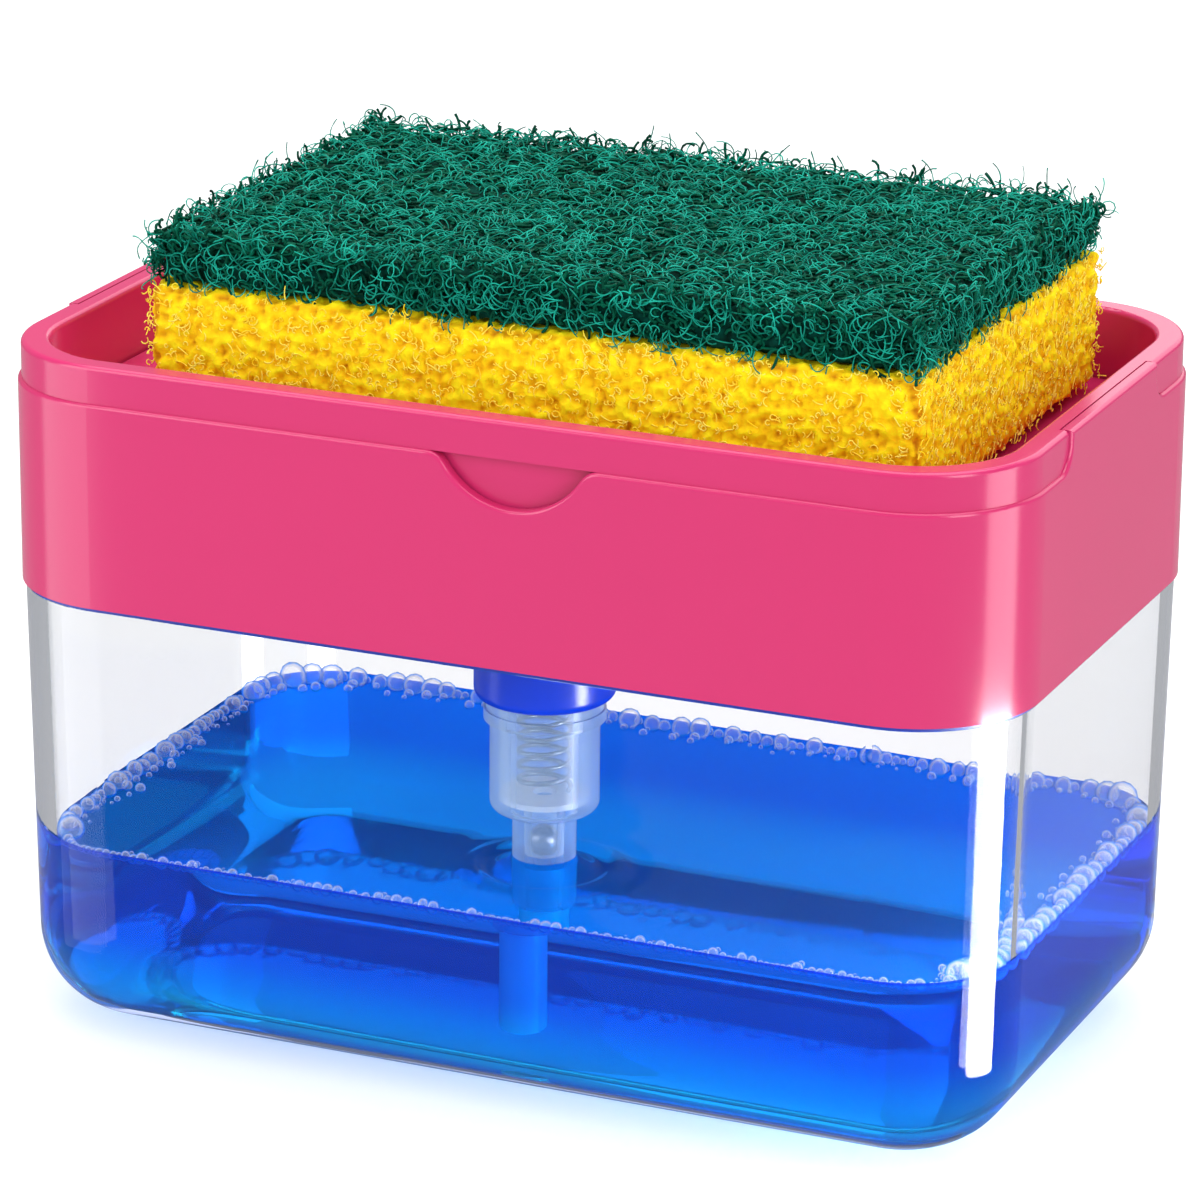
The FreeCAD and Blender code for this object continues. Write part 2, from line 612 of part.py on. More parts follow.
def make_plate():
    body = body_named("press_plate")
    floor = sketch_on(body, "plate_outline", level=PLATE_TOP)
    rounded_rectangle(floor, PLATE_LENGTH, PLATE_DEPTH, PLATE_CORNER)
    pad(body, "plate_block", floor, "sizes.plate_skirt", downwards=True)
    under = sketch_on(body, "plate_under_outline", level=f"{PLATE_TOP} - sizes.plate_skirt")
    rounded_rectangle(under, f"{PLATE_LENGTH} - 2 * sizes.plate_skirt_wall",
                      f"{PLATE_DEPTH} - 2 * sizes.plate_skirt_wall", f"{PLATE_CORNER} - sizes.plate_skirt_wall")
    pocket(body, "plate_under", under, "sizes.plate_skirt - sizes.plate_thick", upwards=True)
    posts = sketch_on(body, "post_outline", level=PLATE_BOTTOM)
    for side in ("", "-"):
        circle_at(posts, "sizes.guide_radius", f"{side}sizes.guide_place_across", "sizes.guide_place_back")
    pad(body, "guide_posts", posts, f"{PLATE_BOTTOM} - {POST_BOTTOM}", downwards=True)
    outlet = sketch_on(body, "outlet_outline", level=PLATE_TOP)
    circle_at(outlet, "sizes.nozzle_radius + sizes.nozzle_clearance", along=f"-{PUMP_FORWARD}")
    pocket(body, "outlet_hole", outlet, "sizes.plate_thick")
    rib = sketch_on(body, "rib_outline", level=PLATE_TOP)
    row = "(sizes.rib_count - 1) * sizes.rib_pitch"
    left = f"-({row}) / 2 - sizes.rib_width / 2"
    right = f"-({row}) / 2 + sizes.rib_width / 2"
    half = "sizes.rib_length / 2"
    outline(rib, [(left, f"-{half}"), (right, f"-{half}"), (right, half), (left, half)])
    first_rib = pad(body, "first_rib", rib, "sizes.rib_height")
    ribs = body.newObject("PartDesign::LinearPattern", "ribs")
    ribs.Originals = [first_rib]
    ribs.Direction = (rib, ["H_Axis"])
    ribs.setExpression("Length", row)
    ribs.setExpression("Occurrences", "sizes.rib_count")
    body.Tip = ribs
    doc.recompute()
    return body


# Pump pieces, turned about one axis

def make_collar():
    bore = "sizes.thread_radius + sizes.seat_clearance"
    bottom = f"{WELL_BOTTOM} - sizes.collar_height"
    body = turned("pump_collar", [
        (bore, bottom), ("sizes.collar_radius", bottom), ("sizes.collar_radius", WELL_BOTTOM), (bore, WELL_BOTTOM)])
    outer = size("sizes.collar_radius")
    rim = level_edge(bottom)
    round_edges(body, "collar_edge", "sizes.collar_round",
                lambda edge: rim(edge) and abs(edge.Curve.Radius - outer) < size("sizes.seat_clearance"))
    return body


def make_washer():
    bore = "sizes.thread_radius + sizes.seat_clearance"
    return turned("pump_washer", [
        (bore, WELL_SEAT), ("sizes.flange_radius", WELL_SEAT),
        ("sizes.flange_radius", FLANGE_BOTTOM), (bore, FLANGE_BOTTOM)])


def make_barrel():
    bead_bottom = f"{FLANGE_BOTTOM} - sizes.bead_drop"
    bead_top = f"{bead_bottom} + sizes.bead_height"
    socket = "sizes.nose_radius - sizes.nose_wall"
    ball_room = "sizes.inlet_ball_radius + sizes.inlet_room"
    seat = f"{TUBE_TOP} + sizes.barrel_floor"
    body = turned("pump_barrel", [
        (socket, NOSE_BOTTOM), ("sizes.nose_radius", NOSE_BOTTOM), ("sizes.nose_radius", BARREL_BOTTOM),
        ("sizes.barrel_radius", BARREL_BOTTOM), ("sizes.barrel_radius", bead_bottom),
        ("sizes.bead_radius", bead_bottom), ("sizes.bead_radius", bead_top), ("sizes.thread_radius", bead_top),
        ("sizes.thread_radius", FLANGE_BOTTOM), ("sizes.flange_radius", FLANGE_BOTTOM),
        ("sizes.flange_radius", FLANGE_TOP), (BARREL_BORE, FLANGE_TOP), (BARREL_BORE, CHAMBER_FLOOR),
        (ball_room, CHAMBER_FLOOR), (ball_room, seat), ("sizes.inlet_hole_radius", seat),
        ("sizes.inlet_hole_radius", TUBE_TOP), (socket, TUBE_TOP)])
    outer = size("sizes.barrel_radius")
    shoulder = level_edge(BARREL_BOTTOM)
    round_edges(body, "barrel_shoulder", "sizes.barrel_round",
                lambda edge: shoulder(edge) and abs(edge.Curve.Radius - outer) < size("sizes.seat_clearance"))
    return body


def make_cap():
    bore = "sizes.stem_radius + sizes.slide_clearance"
    plug = f"{BARREL_BORE} - sizes.seat_clearance"
    plug_bottom = f"{STEM_COLLAR_TOP} + sizes.spring_gap"
    return turned("barrel_cap", [
        (bore, plug_bottom), (plug, plug_bottom), (plug, FLANGE_TOP), ("sizes.cap_radius", FLANGE_TOP),
        ("sizes.cap_radius", CAP_TOP), (bore, CAP_TOP)])


def make_spring_seat():
    outer = f"{BARREL_BORE} - sizes.seat_clearance"
    return turned("spring_seat", [
        ("sizes.inlet_hole_radius", CHAMBER_FLOOR), (outer, CHAMBER_FLOOR),
        (outer, SPRING_BOTTOM), ("sizes.inlet_hole_radius", SPRING_BOTTOM)])


def make_piston():
    bore = "sizes.stem_radius + sizes.seat_clearance"
    lip = f"{BARREL_BORE} - sizes.slide_clearance"
    waist = f"{lip} - sizes.piston_waist"
    lower = f"{PISTON_BOTTOM} + sizes.piston_lip"
    upper = f"{PISTON_TOP} - sizes.piston_lip"
    return turned("pump_piston", [
        (bore, PISTON_BOTTOM), (lip, PISTON_BOTTOM), (lip, lower), (waist, lower), (waist, upper),
        (lip, upper), (lip, PISTON_TOP), (bore, PISTON_TOP)])


def make_stem():
    return turned("pump_stem", [
        ("sizes.stem_bore", PISTON_BOTTOM), ("sizes.stem_radius", PISTON_BOTTOM), ("sizes.stem_radius", PISTON_TOP),
        ("sizes.stem_collar_radius", PISTON_TOP), ("sizes.stem_collar_radius", STEM_COLLAR_TOP),
        ("sizes.stem_radius", STEM_COLLAR_TOP), ("sizes.stem_radius", STEM_TOP), ("sizes.stem_bore", STEM_TOP)])


OUTLET_BALL_LIFT = "sqrt(sizes.outlet_ball_radius ^ 2 - sizes.stem_bore ^ 2)"
OUTLET_BALL_CENTRE = f"({STEM_TOP} + {OUTLET_BALL_LIFT} + sizes.seat_clearance)"
INLET_SEAT = f"({TUBE_TOP} + sizes.barrel_floor)"
INLET_BALL_LIFT = "sqrt(sizes.inlet_ball_radius ^ 2 - sizes.inlet_hole_radius ^ 2)"
INLET_BALL_CENTRE = f"({INLET_SEAT} + {INLET_BALL_LIFT} + sizes.seat_clearance)"


def make_actuator():
    socket = "sizes.stem_radius + sizes.seat_clearance"
    chamber = "sizes.outlet_ball_radius + sizes.outlet_room"
    roof = f"{OUTLET_BALL_CENTRE} + sizes.outlet_ball_radius + sizes.outlet_travel + sizes.seat_clearance"
    tip = f"{SPONGE_BOTTOM} - sizes.nozzle_below_ribs"
    return turned("pump_actuator", [
        (socket, HUB_BOTTOM), ("sizes.actuator_hub_radius", HUB_BOTTOM),
        ("sizes.actuator_hub_radius", ACTUATOR_BOTTOM), ("sizes.actuator_radius", ACTUATOR_BOTTOM),
        ("sizes.actuator_radius", PLATE_BOTTOM), ("sizes.nozzle_radius", PLATE_BOTTOM),
        ("sizes.nozzle_radius", tip), ("sizes.outlet_bore", tip), ("sizes.outlet_bore", roof),
        (chamber, roof), (chamber, STEM_TOP), (socket, STEM_TOP)])


def make_dip_tube():
    bottom = "sizes.tank_floor + sizes.tube_stand_off"
    bore = f"{TUBE_RADIUS} - sizes.tube_wall"
    return turned("dip_tube", [(bore, bottom), (TUBE_RADIUS, bottom), (TUBE_RADIUS, TUBE_TOP), (bore, TUBE_TOP)])


def make_ball(label, radius, centre):
    ball = doc.addObject("Part::Sphere", label)
    ball.Label = label
    ball.setExpression("Radius", radius)
    ball.setExpression("Placement.Base.z", centre)
    on_pump_axis(ball)
    return ball


# Spring: one wire wound as a run of biarcs, a quarter turn each

def biarc(start, start_way, end, end_way):
    """Two arcs that leave one point along one direction and reach another along another."""
    span = end - start
    both = start_way + end_way
    square = 2 * (1 - start_way.dot(end_way))
    reach = (math.sqrt(span.dot(both) ** 2 + square * span.dot(span)) - span.dot(both)) / square
    first_corner = start + start_way * reach
    second_corner = end - end_way * reach
    joint = (first_corner + second_corner) * 0.5
    return [arc_through(start, first_corner, joint), arc_through(joint, second_corner, end)]


def arc_through(start, corner, end):
    """The arc whose end tangents meet at a corner."""
    middle = (start + end) * 0.5
    rise = corner - middle
    half_turn = math.acos((end - start).Length / 2 / (corner - start).Length)
    height = (corner - start).Length / math.tan(half_turn) * (1 - math.cos(half_turn))
    return Part.Arc(start, middle + rise.normalize() * height, end).toShape()


def make_spring():
    radius = size("sizes.spring_radius")
    wire = size("sizes.spring_wire")
    turns = size("sizes.spring_turns")
    bottom = size(f"{SPRING_BOTTOM} + sizes.spring_gap + sizes.spring_wire / 2")
    top = size(f"{PISTON_BOTTOM} - sizes.spring_gap - sizes.spring_wire / 2")
    pitch = (top - bottom) / turns
    quarters = round(turns * 4)

    def place(angle):
        return FreeCAD.Vector(radius * math.cos(angle), radius * math.sin(angle), bottom + pitch * angle / math.tau)

    def way(angle):
        return FreeCAD.Vector(-radius * math.sin(angle), radius * math.cos(angle), pitch / math.tau).normalize()

    angles = [quarter * math.pi / 2 for quarter in range(quarters + 1)]
    edges = []
    for one, other in zip(angles, angles[1:]):
        edges += biarc(place(one), way(one), place(other), way(other))
    path = Part.Wire(edges)
    section = Part.Wire(Part.Circle(place(0), way(0), wire / 2).toShape())
    shell = Part.BRepOffsetAPI.MakePipeShell(path)
    shell.add(section)
    shell.build()
    shell.makeSolid()
    spring = doc.addObject("Part::Feature", "pump_spring")
    spring.Label = "pump_spring"
    spring.Shape = shell.shape()
    spring.Placement = FreeCAD.Placement(FreeCAD.Vector(0, -size(PUMP_FORWARD), 0), FreeCAD.Rotation())
    steps = [math.tau * turns * step / 600 for step in range(601)]
    points = [place(angle) for angle in steps]
    gaps = [(one - other).Length for index, one in enumerate(points)
            for angle, other in zip(steps[index:], points[index:]) if angle - steps[index] > math.pi]
    print(f"spring: pitch {pitch:.2f}, least gap to itself {min(gaps) - wire:.2f}")
    expected = path.Length * math.pi * (wire / 2) ** 2
    print(f"spring: volume {spring.Shape.Volume:.2f}, section times length {expected:.2f}")
    return spring


# Sponge: a foam block with a scouring pad bonded on top

def sponge_block(label, bottom, thick):
    body = body_named(label)
    sketch = sketch_on(body, f"{label}_outline", level=bottom)
    rounded_rectangle(sketch, "sizes.sponge_length", "sizes.sponge_depth", "sizes.sponge_corner")
    pad(body, f"{label}_block", sketch, thick)
    body.setExpression("Placement.Base.x", "sizes.sponge_place")
    return body


def main():
    pieces = [
        make_tank(),
        make_gasket(),
        make_soap(),
        make_frame(),
        make_rim(),
        make_plate(),
        make_collar(),
        make_washer(),
        make_barrel(),
        make_cap(),
        make_spring_seat(),
        make_piston(),
        make_stem(),
        make_actuator(),
        make_dip_tube(),
        make_ball("inlet_ball", "sizes.inlet_ball_radius", INLET_BALL_CENTRE),
        make_ball("outlet_ball", "sizes.outlet_ball_radius", OUTLET_BALL_CENTRE),
        make_spring(),
        sponge_block("sponge_foam", SPONGE_BOTTOM, "sizes.foam_thick"),
        sponge_block("scour_pad", FOAM_TOP, "sizes.scour_thick"),
    ]
    doc.recompute()
    for item in doc.Objects:
        if "Invalid" in item.State or "Error" in item.State:
            raise RuntimeError(f"{item.Label} failed: {item.State}")
    os.makedirs("parts", exist_ok=True)
    for piece in pieces:
        shape = piece.Shape
        if shape.isNull() or not shape.isValid() or not shape.Solids:
            raise RuntimeError(f"{piece.Label} has no valid solid")
        shape.exportStep(f"parts/{piece.Label}.step")
        box = shape.BoundBox
        print(f"{piece.Label}: {len(shape.Solids)} solid, {shape.Volume:.1f} mm3, "
              f"z {box.ZMin:.2f} to {box.ZMax:.2f}, x {box.XMin:.2f} to {box.XMax:.2f}")


main()
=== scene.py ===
# %% [markdown]
# # A soap pump caddy
# A clear tank holds blue washing-up soap. A pink frame sits on its neck, a pink ring drops into the frame,
# and a sponge lies inside the ring on a sprung plate. The hard pieces come from the CAD model as they are.
# This script gives them their finishes, and models what CAD leaves plain: the liquid, its froth, the sponge
# and the pump's spring.

# %% Load the CAD model
import math
import random

import bmesh
import bpy
import numpy as np
from mathutils import Matrix, Vector


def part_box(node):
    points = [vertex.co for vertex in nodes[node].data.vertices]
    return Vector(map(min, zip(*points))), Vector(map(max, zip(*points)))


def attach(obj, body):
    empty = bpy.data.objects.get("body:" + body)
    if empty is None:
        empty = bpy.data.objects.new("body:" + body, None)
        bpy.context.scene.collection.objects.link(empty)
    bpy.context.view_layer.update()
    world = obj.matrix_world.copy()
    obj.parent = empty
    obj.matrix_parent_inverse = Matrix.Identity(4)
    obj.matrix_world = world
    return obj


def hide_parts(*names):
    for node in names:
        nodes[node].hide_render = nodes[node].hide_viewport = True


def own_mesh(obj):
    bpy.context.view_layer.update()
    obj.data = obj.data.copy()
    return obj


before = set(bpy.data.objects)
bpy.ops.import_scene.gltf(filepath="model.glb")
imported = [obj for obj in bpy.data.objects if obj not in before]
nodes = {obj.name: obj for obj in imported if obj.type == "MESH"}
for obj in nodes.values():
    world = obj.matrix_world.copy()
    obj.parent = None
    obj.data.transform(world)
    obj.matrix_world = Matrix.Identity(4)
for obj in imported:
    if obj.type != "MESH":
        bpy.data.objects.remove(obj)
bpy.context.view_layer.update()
scene = bpy.context.scene
scene.view_settings.view_transform = "Standard"
MM = 0.001

# %% [markdown]
# ## The camera
# The photograph was taken with a long lens, from the right of the front and a little above. The numbers
# come from fitting the outlines of rim, frame and tank. The camera could be placed by hand, but a distance
# and three angles say more, and are easier to change.

# %% Camera
CAMERA_YAW = math.radians(23.215)
CAMERA_PITCH = math.radians(18.397)
CAMERA_ROLL = math.radians(0.48)
CAMERA_DISTANCE = 813.711 * MM
CAMERA_LENS = 176.19
CAMERA_SENSOR = 36.0
CAMERA_CLIP = (0.01, 20.0)
CAMERA_AIM = Vector((-0.299 * MM, -0.128 * MM, 59.055 * MM))

bpy.ops.object.select_all(action="DESELECT")
towards_camera = Vector((
    math.sin(CAMERA_YAW) * math.cos(CAMERA_PITCH),
    -math.cos(CAMERA_YAW) * math.cos(CAMERA_PITCH),
    math.sin(CAMERA_PITCH),
))
bpy.ops.object.camera_add(location=CAMERA_AIM + towards_camera * CAMERA_DISTANCE)
camera = bpy.context.object
camera.name = "photo_camera"
camera.data.lens = CAMERA_LENS
camera.data.sensor_width = CAMERA_SENSOR
camera.rotation_mode = "QUATERNION"
turned = (-towards_camera).to_track_quat("-Z", "Y").to_matrix() @ Matrix.Rotation(CAMERA_ROLL, 3, "Z")
camera.rotation_quaternion = turned.to_quaternion()
camera.data.clip_start, camera.data.clip_end = CAMERA_CLIP
scene.camera = camera
print("camera at", [round(v, 3) for v in camera.location])

# %% [markdown]
# ## The studio
# The object stands on white paper in a white studio. The world is plain white to the camera and through
# clear pieces, dimmer where a surface mirrors it, and a softer grey as a lamp. One white world for all
# would wash the colours out, so the Light Path node tells these rays apart.

# %% World
WORLD_AS_LAMP = 0.34
MIRRORED_LEVEL = 0.36


def switch_by_mirror(tree, plain, mirrored, out):
    """Joins a plain shader to one for what a surface mirrors.

    It gives back a node that is 1 for what the camera sees, straight on or through clear pieces.
    """
    path = tree.nodes.new("ShaderNodeLightPath")
    once = tree.nodes.new("ShaderNodeMath")
    once.operation = "GREATER_THAN"
    once.inputs[1].default_value = 0.5
    either = tree.nodes.new("ShaderNodeMixShader")
    tree.links.new(path.outputs["Glossy Depth"], once.inputs[0])
    tree.links.new(once.outputs[0], either.inputs[0])
    tree.links.new(plain.outputs[0], either.inputs[1])
    tree.links.new(mirrored.outputs[0], either.inputs[2])
    seen = tree.nodes.new("ShaderNodeMath")
    seen.operation = "MAXIMUM"
    tree.links.new(path.outputs["Is Camera Ray"], seen.inputs[0])
    tree.links.new(path.outputs["Is Transmission Ray"], seen.inputs[1])
    tree.links.new(either.outputs[0], out)
    return seen


def background(tree, strength):
    """A plain white surrounding of that strength."""
    node = tree.nodes.new("ShaderNodeBackground")
    node.inputs["Color"].default_value = (1, 1, 1, 1)
    node.inputs["Strength"].default_value = strength
    return node


world = bpy.data.worlds.new("studio")
scene.world = world
world.use_nodes = True
tree = world.node_tree
tree.nodes.clear()
lamp = background(tree, WORLD_AS_LAMP)
paper = background(tree, 1.0)
dim = background(tree, MIRRORED_LEVEL)
mixed = tree.nodes.new("ShaderNodeMixShader")
world_out = tree.nodes.new("ShaderNodeOutputWorld")
seen = switch_by_mirror(tree, mixed, dim, world_out.inputs["Surface"])
tree.links.new(seen.outputs[0], mixed.inputs[0])
tree.links.new(lamp.outputs[0], mixed.inputs[1])
tree.links.new(paper.outputs[0], mixed.inputs[2])
print("world", world.name, len(tree.nodes), "nodes")

# %% [markdown]
# The floor is a large sheet of white paper. It takes the shadow, and glows a little for the camera so that
# it reads as white. It lies a hair below the tank, because two faces in one place would flicker.

# %% Floor
FLOOR_SIZE = 8.0
FLOOR_DROP = 0.05 * MM
FLOOR_GLOW = 0.18
bpy.ops.mesh.primitive_plane_add(size=FLOOR_SIZE, location=(0, 0, -FLOOR_DROP))
floor = bpy.context.object
floor.name = "paper_floor"
paper_look = bpy.data.materials.new("white_paper")
paper_look.use_nodes = True
tree = paper_look.node_tree
tree.nodes.clear()
matt = tree.nodes.new("ShaderNodeBsdfDiffuse")
matt.inputs["Color"].default_value = (0.86, 0.87, 0.88, 1)
glow = tree.nodes.new("ShaderNodeEmission")
glow.inputs["Strength"].default_value = FLOOR_GLOW
added = tree.nodes.new("ShaderNodeAddShader")
dim = tree.nodes.new("ShaderNodeBsdfDiffuse")
dim.inputs["Color"].default_value = (MIRRORED_LEVEL, MIRRORED_LEVEL, MIRRORED_LEVEL, 1)
mixed = tree.nodes.new("ShaderNodeMixShader")
floor_out = tree.nodes.new("ShaderNodeOutputMaterial")
seen = switch_by_mirror(tree, mixed, dim, floor_out.inputs["Surface"])
tree.links.new(matt.outputs[0], added.inputs[0])
tree.links.new(glow.outputs[0], added.inputs[1])
tree.links.new(seen.outputs[0], mixed.inputs[0])
tree.links.new(matt.outputs[0], mixed.inputs[1])
tree.links.new(added.outputs[0], mixed.inputs[2])
floor.data.materials.append(paper_look)
print("floor", floor.name, FLOOR_SIZE, "m wide")

# %% [markdown]
# Large soft boxes light the object from above, from both sides of the front and from behind. They give the
# long highlights that run down the round corners. Small lamps would give hard dots there instead.

# %% Lamps
LAMP_AIM = Vector((0, 0, 0.05))
SOFT_BOXES = {
    # name: (place in metres, width and height, watts)
    "overhead": ((0.0, 0.05, 0.75), (0.9, 0.7), 6.0),
    "front_left": ((-0.55, -0.60, 0.45), (0.5, 0.6), 3.7),
    "front_right": ((0.75, -0.45, 0.35), (0.35, 0.6), 3.6),
    "back": ((0.1, 0.70, 0.45), (0.9, 0.5), 2.0),
}
for name, (place, (width, height), watts) in SOFT_BOXES.items():
    bpy.ops.object.light_add(type="AREA", location=place)
    box_lamp = bpy.context.object
    box_lamp.name = f"soft_box_{name}"
    box_lamp.data.shape = "RECTANGLE"
    box_lamp.data.size = width
    box_lamp.data.size_y = height
    box_lamp.data.energy = watts
    aim = LAMP_AIM - Vector(place)
    box_lamp.rotation_mode = "QUATERNION"
    box_lamp.rotation_quaternion = aim.to_track_quat("-Z", "Y")
print("lamps", list(SOFT_BOXES))

# %% [markdown]
# Upright plastic mirrors what stands on the table beside it. Glowing cards stand there, out of the picture:
# two narrow ones, one above the other, for the streak on the right corner, and a wide dim one for the pale
# band on the left corner. Two more stand close behind the tank and are seen only through it, as the pale
# upright stripes in the liquid. Cards are used because lamps would also light the paper.

# %% Cards
CARDS = {
    # name: (foot of one end, foot of the other end, bottom, top, brightness, seen through the clear pieces)
    "right_strip_low": ((0.0995, -0.042), (0.0995, -0.021), 0.0, 0.0525, 110.0, False),
    "right_strip_high": ((0.0995, -0.042), (0.0995, -0.021), 0.0535, 0.10, 5.0, False),
    "left_panel": ((-0.0930, -0.049), (-0.0705, -0.072), 0.0, 0.10, 2.6, False),
    "back_strip_outer": ((-0.0842, 0.0509), (-0.0799, 0.0527), 0.0, 0.06, 2.6, True),
    "back_strip_inner": ((-0.0729, 0.0557), (-0.0687, 0.0575), 0.0, 0.06, 2.2, True),
}
for name, (one, other, bottom, top, brightness, through) in CARDS.items():
    bpy.ops.object.select_all(action="DESELECT")
    bpy.ops.mesh.primitive_plane_add(size=1)
    card = bpy.context.object
    card.name = f"card_{name}"
    corners = [(*one, bottom), (*other, bottom), (*one, top), (*other, top)]
    for vertex, place in zip(card.data.vertices, corners):
        vertex.co = place
    look = bpy.data.materials.new(card.name)
    look.use_nodes = True
    tree = look.node_tree
    tree.nodes.clear()
    shine = tree.nodes.new("ShaderNodeEmission")
    shine.inputs["Strength"].default_value = brightness
    tree.links.new(shine.outputs[0], tree.nodes.new("ShaderNodeOutputMaterial").inputs["Surface"])
    card.data.materials.append(look)
    card.visible_diffuse = False
    card.visible_camera = False
    card.visible_transmission = through
    card.visible_glossy = not through
    card.visible_shadow = False
print("cards", list(CARDS))

# %% [markdown]
# ## Finishes for the moulded pieces
# Every moulded plastic has a faint unevenness: a slow drift of colour, a gloss that changes over the
# surface, and a skin that is not quite flat. Those nodes could be copied into each plastic. One node group
# with named inputs is shorter, and each plastic uses it with its own values. Two helpers make groups and
# nodes.

# %% Node tools
def new_group(name, inputs, outputs):
    """A shader node group with named sockets, returned with its two end nodes."""
    group = bpy.data.node_groups.new(name, "ShaderNodeTree")
    for label, kind, value in inputs:
        socket = group.interface.new_socket(label, in_out="INPUT", socket_type=f"NodeSocket{kind}")
        socket.default_value = value
    for label, kind in outputs:
        group.interface.new_socket(label, in_out="OUTPUT", socket_type=f"NodeSocket{kind}")
    return group, group.nodes.new("NodeGroupInput"), group.nodes.new("NodeGroupOutput")


def add(tree, kind, **values):
    """A node with its properties and its sockets' values set by name."""
    node = tree.nodes.new(f"ShaderNode{kind}")
    for key, value in values.items():
        label = key.replace("_", " ").title()
        if hasattr(node, key):
            setattr(node, key, value)
        else:
            node.inputs[label].default_value = value
    return node


print("node tools", new_group.__name__, add.__name__)

# %% [markdown]
# Three noise textures drive the group: a slow one for colour, a fine one for gloss and a middling one for
# the skin. They use Object coordinates, which stay with the piece when it moves.

# %% Group: moulded skin
skin, skin_in, skin_out = new_group(
    "moulded_skin",
    [("Colour", "Color", (0.5, 0.5, 0.5, 1)), ("Drift", "Float", 0.05), ("Gloss", "Float", 0.25),
     ("Gloss Drift", "Float", 0.05), ("Unevenness", "Float", 0.02)],
    [("Colour", "Color"), ("Roughness", "Float"), ("Normal", "Vector")],
)
where = add(skin, "TexCoord")
slow = add(skin, "TexNoise", scale=22.0, detail=3.0)
fine = add(skin, "TexNoise", scale=900.0, detail=2.0)
ripple = add(skin, "TexNoise", scale=60.0, detail=1.0)
for texture in (slow, fine, ripple):
    skin.links.new(where.outputs["Object"], texture.inputs["Vector"])
swing = add(skin, "Math", operation="MULTIPLY_ADD")
swing.inputs[2].default_value = 1.0
centred = add(skin, "Math", operation="SUBTRACT")
centred.inputs[1].default_value = 0.5
skin.links.new(slow.outputs["Fac"], centred.inputs[0])
skin.links.new(centred.outputs[0], swing.inputs[0])
skin.links.new(skin_in.outputs["Drift"], swing.inputs[1])
shade = add(skin, "VectorMath", operation="SCALE")
skin.links.new(skin_in.outputs["Colour"], shade.inputs[0])
skin.links.new(swing.outputs[0], shade.inputs["Scale"])
skin.links.new(shade.outputs[0], skin_out.inputs["Colour"])
fine_centred = add(skin, "Math", operation="SUBTRACT")
fine_centred.inputs[1].default_value = 0.5
skin.links.new(fine.outputs["Fac"], fine_centred.inputs[0])
gloss = add(skin, "Math", operation="MULTIPLY_ADD")
skin.links.new(fine_centred.outputs[0], gloss.inputs[0])
skin.links.new(skin_in.outputs["Gloss Drift"], gloss.inputs[1])
skin.links.new(skin_in.outputs["Gloss"], gloss.inputs[2])
skin.links.new(gloss.outputs[0], skin_out.inputs["Roughness"])
bump = add(skin, "Bump", distance=0.0004)
skin.links.new(skin_in.outputs["Unevenness"], bump.inputs["Strength"])
skin.links.new(ripple.outputs["Fac"], bump.inputs["Height"])
skin.links.new(bump.outputs["Normal"], skin_out.inputs["Normal"])
print("group", skin.name, len(skin.nodes), "nodes")

# %% [markdown]
# Each plastic is one call: a colour and how far it drifts, a gloss and how far it drifts, and how uneven
# the skin is. Anything else, such as being metal, is a constant on the shader itself.

# %% Plastics that use the group
def new_look(name):
    """A new finish, with its node tree and its shader."""
    look = bpy.data.materials.new(name)
    look.use_nodes = True
    return look, look.node_tree, look.node_tree.nodes["Principled BSDF"]


def moulded(name, colour, drift, gloss, gloss_drift, unevenness, **sockets):
    """A moulded plastic: the skin group drives colour, gloss and normal, and constants sit on the shader."""
    look, tree, shader = new_look(name)
    group = tree.nodes.new("ShaderNodeGroup")
    group.node_tree = skin
    for label, value in (("Colour", (*colour, 1)), ("Drift", drift), ("Gloss", gloss),
                         ("Gloss Drift", gloss_drift), ("Unevenness", unevenness)):
        group.inputs[label].default_value = value
    tree.links.new(group.outputs["Colour"], shader.inputs["Base Color"])
    tree.links.new(group.outputs["Roughness"], shader.inputs["Roughness"])
    tree.links.new(group.outputs["Normal"], shader.inputs["Normal"])
    for label, value in sockets.items():
        shader.inputs[label.replace("_", " ")].default_value = value
    return look, tree, shader


pink_look, _, _ = moulded("pink_plastic", (0.62, 0.027, 0.146), 0.06, 0.20, 0.05, 0.03)
blue_look, _, _ = moulded("collar_blue", (0.0, 0.05, 0.75), 0.15, 0.25, 0.08, 0.05, Specular_IOR_Level=0.3)
seal_look, _, _ = moulded("seal_blue", (0.006, 0.035, 0.42), 0.2, 0.45, 0.1, 0.05)
washer_look, _, _ = moulded("washer_rubber", (0.03, 0.03, 0.035), 0.2, 0.6, 0.1, 0.08)
white_look, _, _ = moulded("white_plastic", (0.80, 0.83, 0.87), 0.06, 0.3, 0.08, 0.05)
print("plastics", [look.name for look in (pink_look, blue_look, seal_look, washer_look, white_look)])

# %% [markdown]
# Clear pieces need care. Lamps have to shine through them, or the inside stays dark, and light that bounces
# along inside a thin wall has to leave it, or the wall shows a black line. The Light Path node tells such
# rays apart, and a transparent shader takes them.

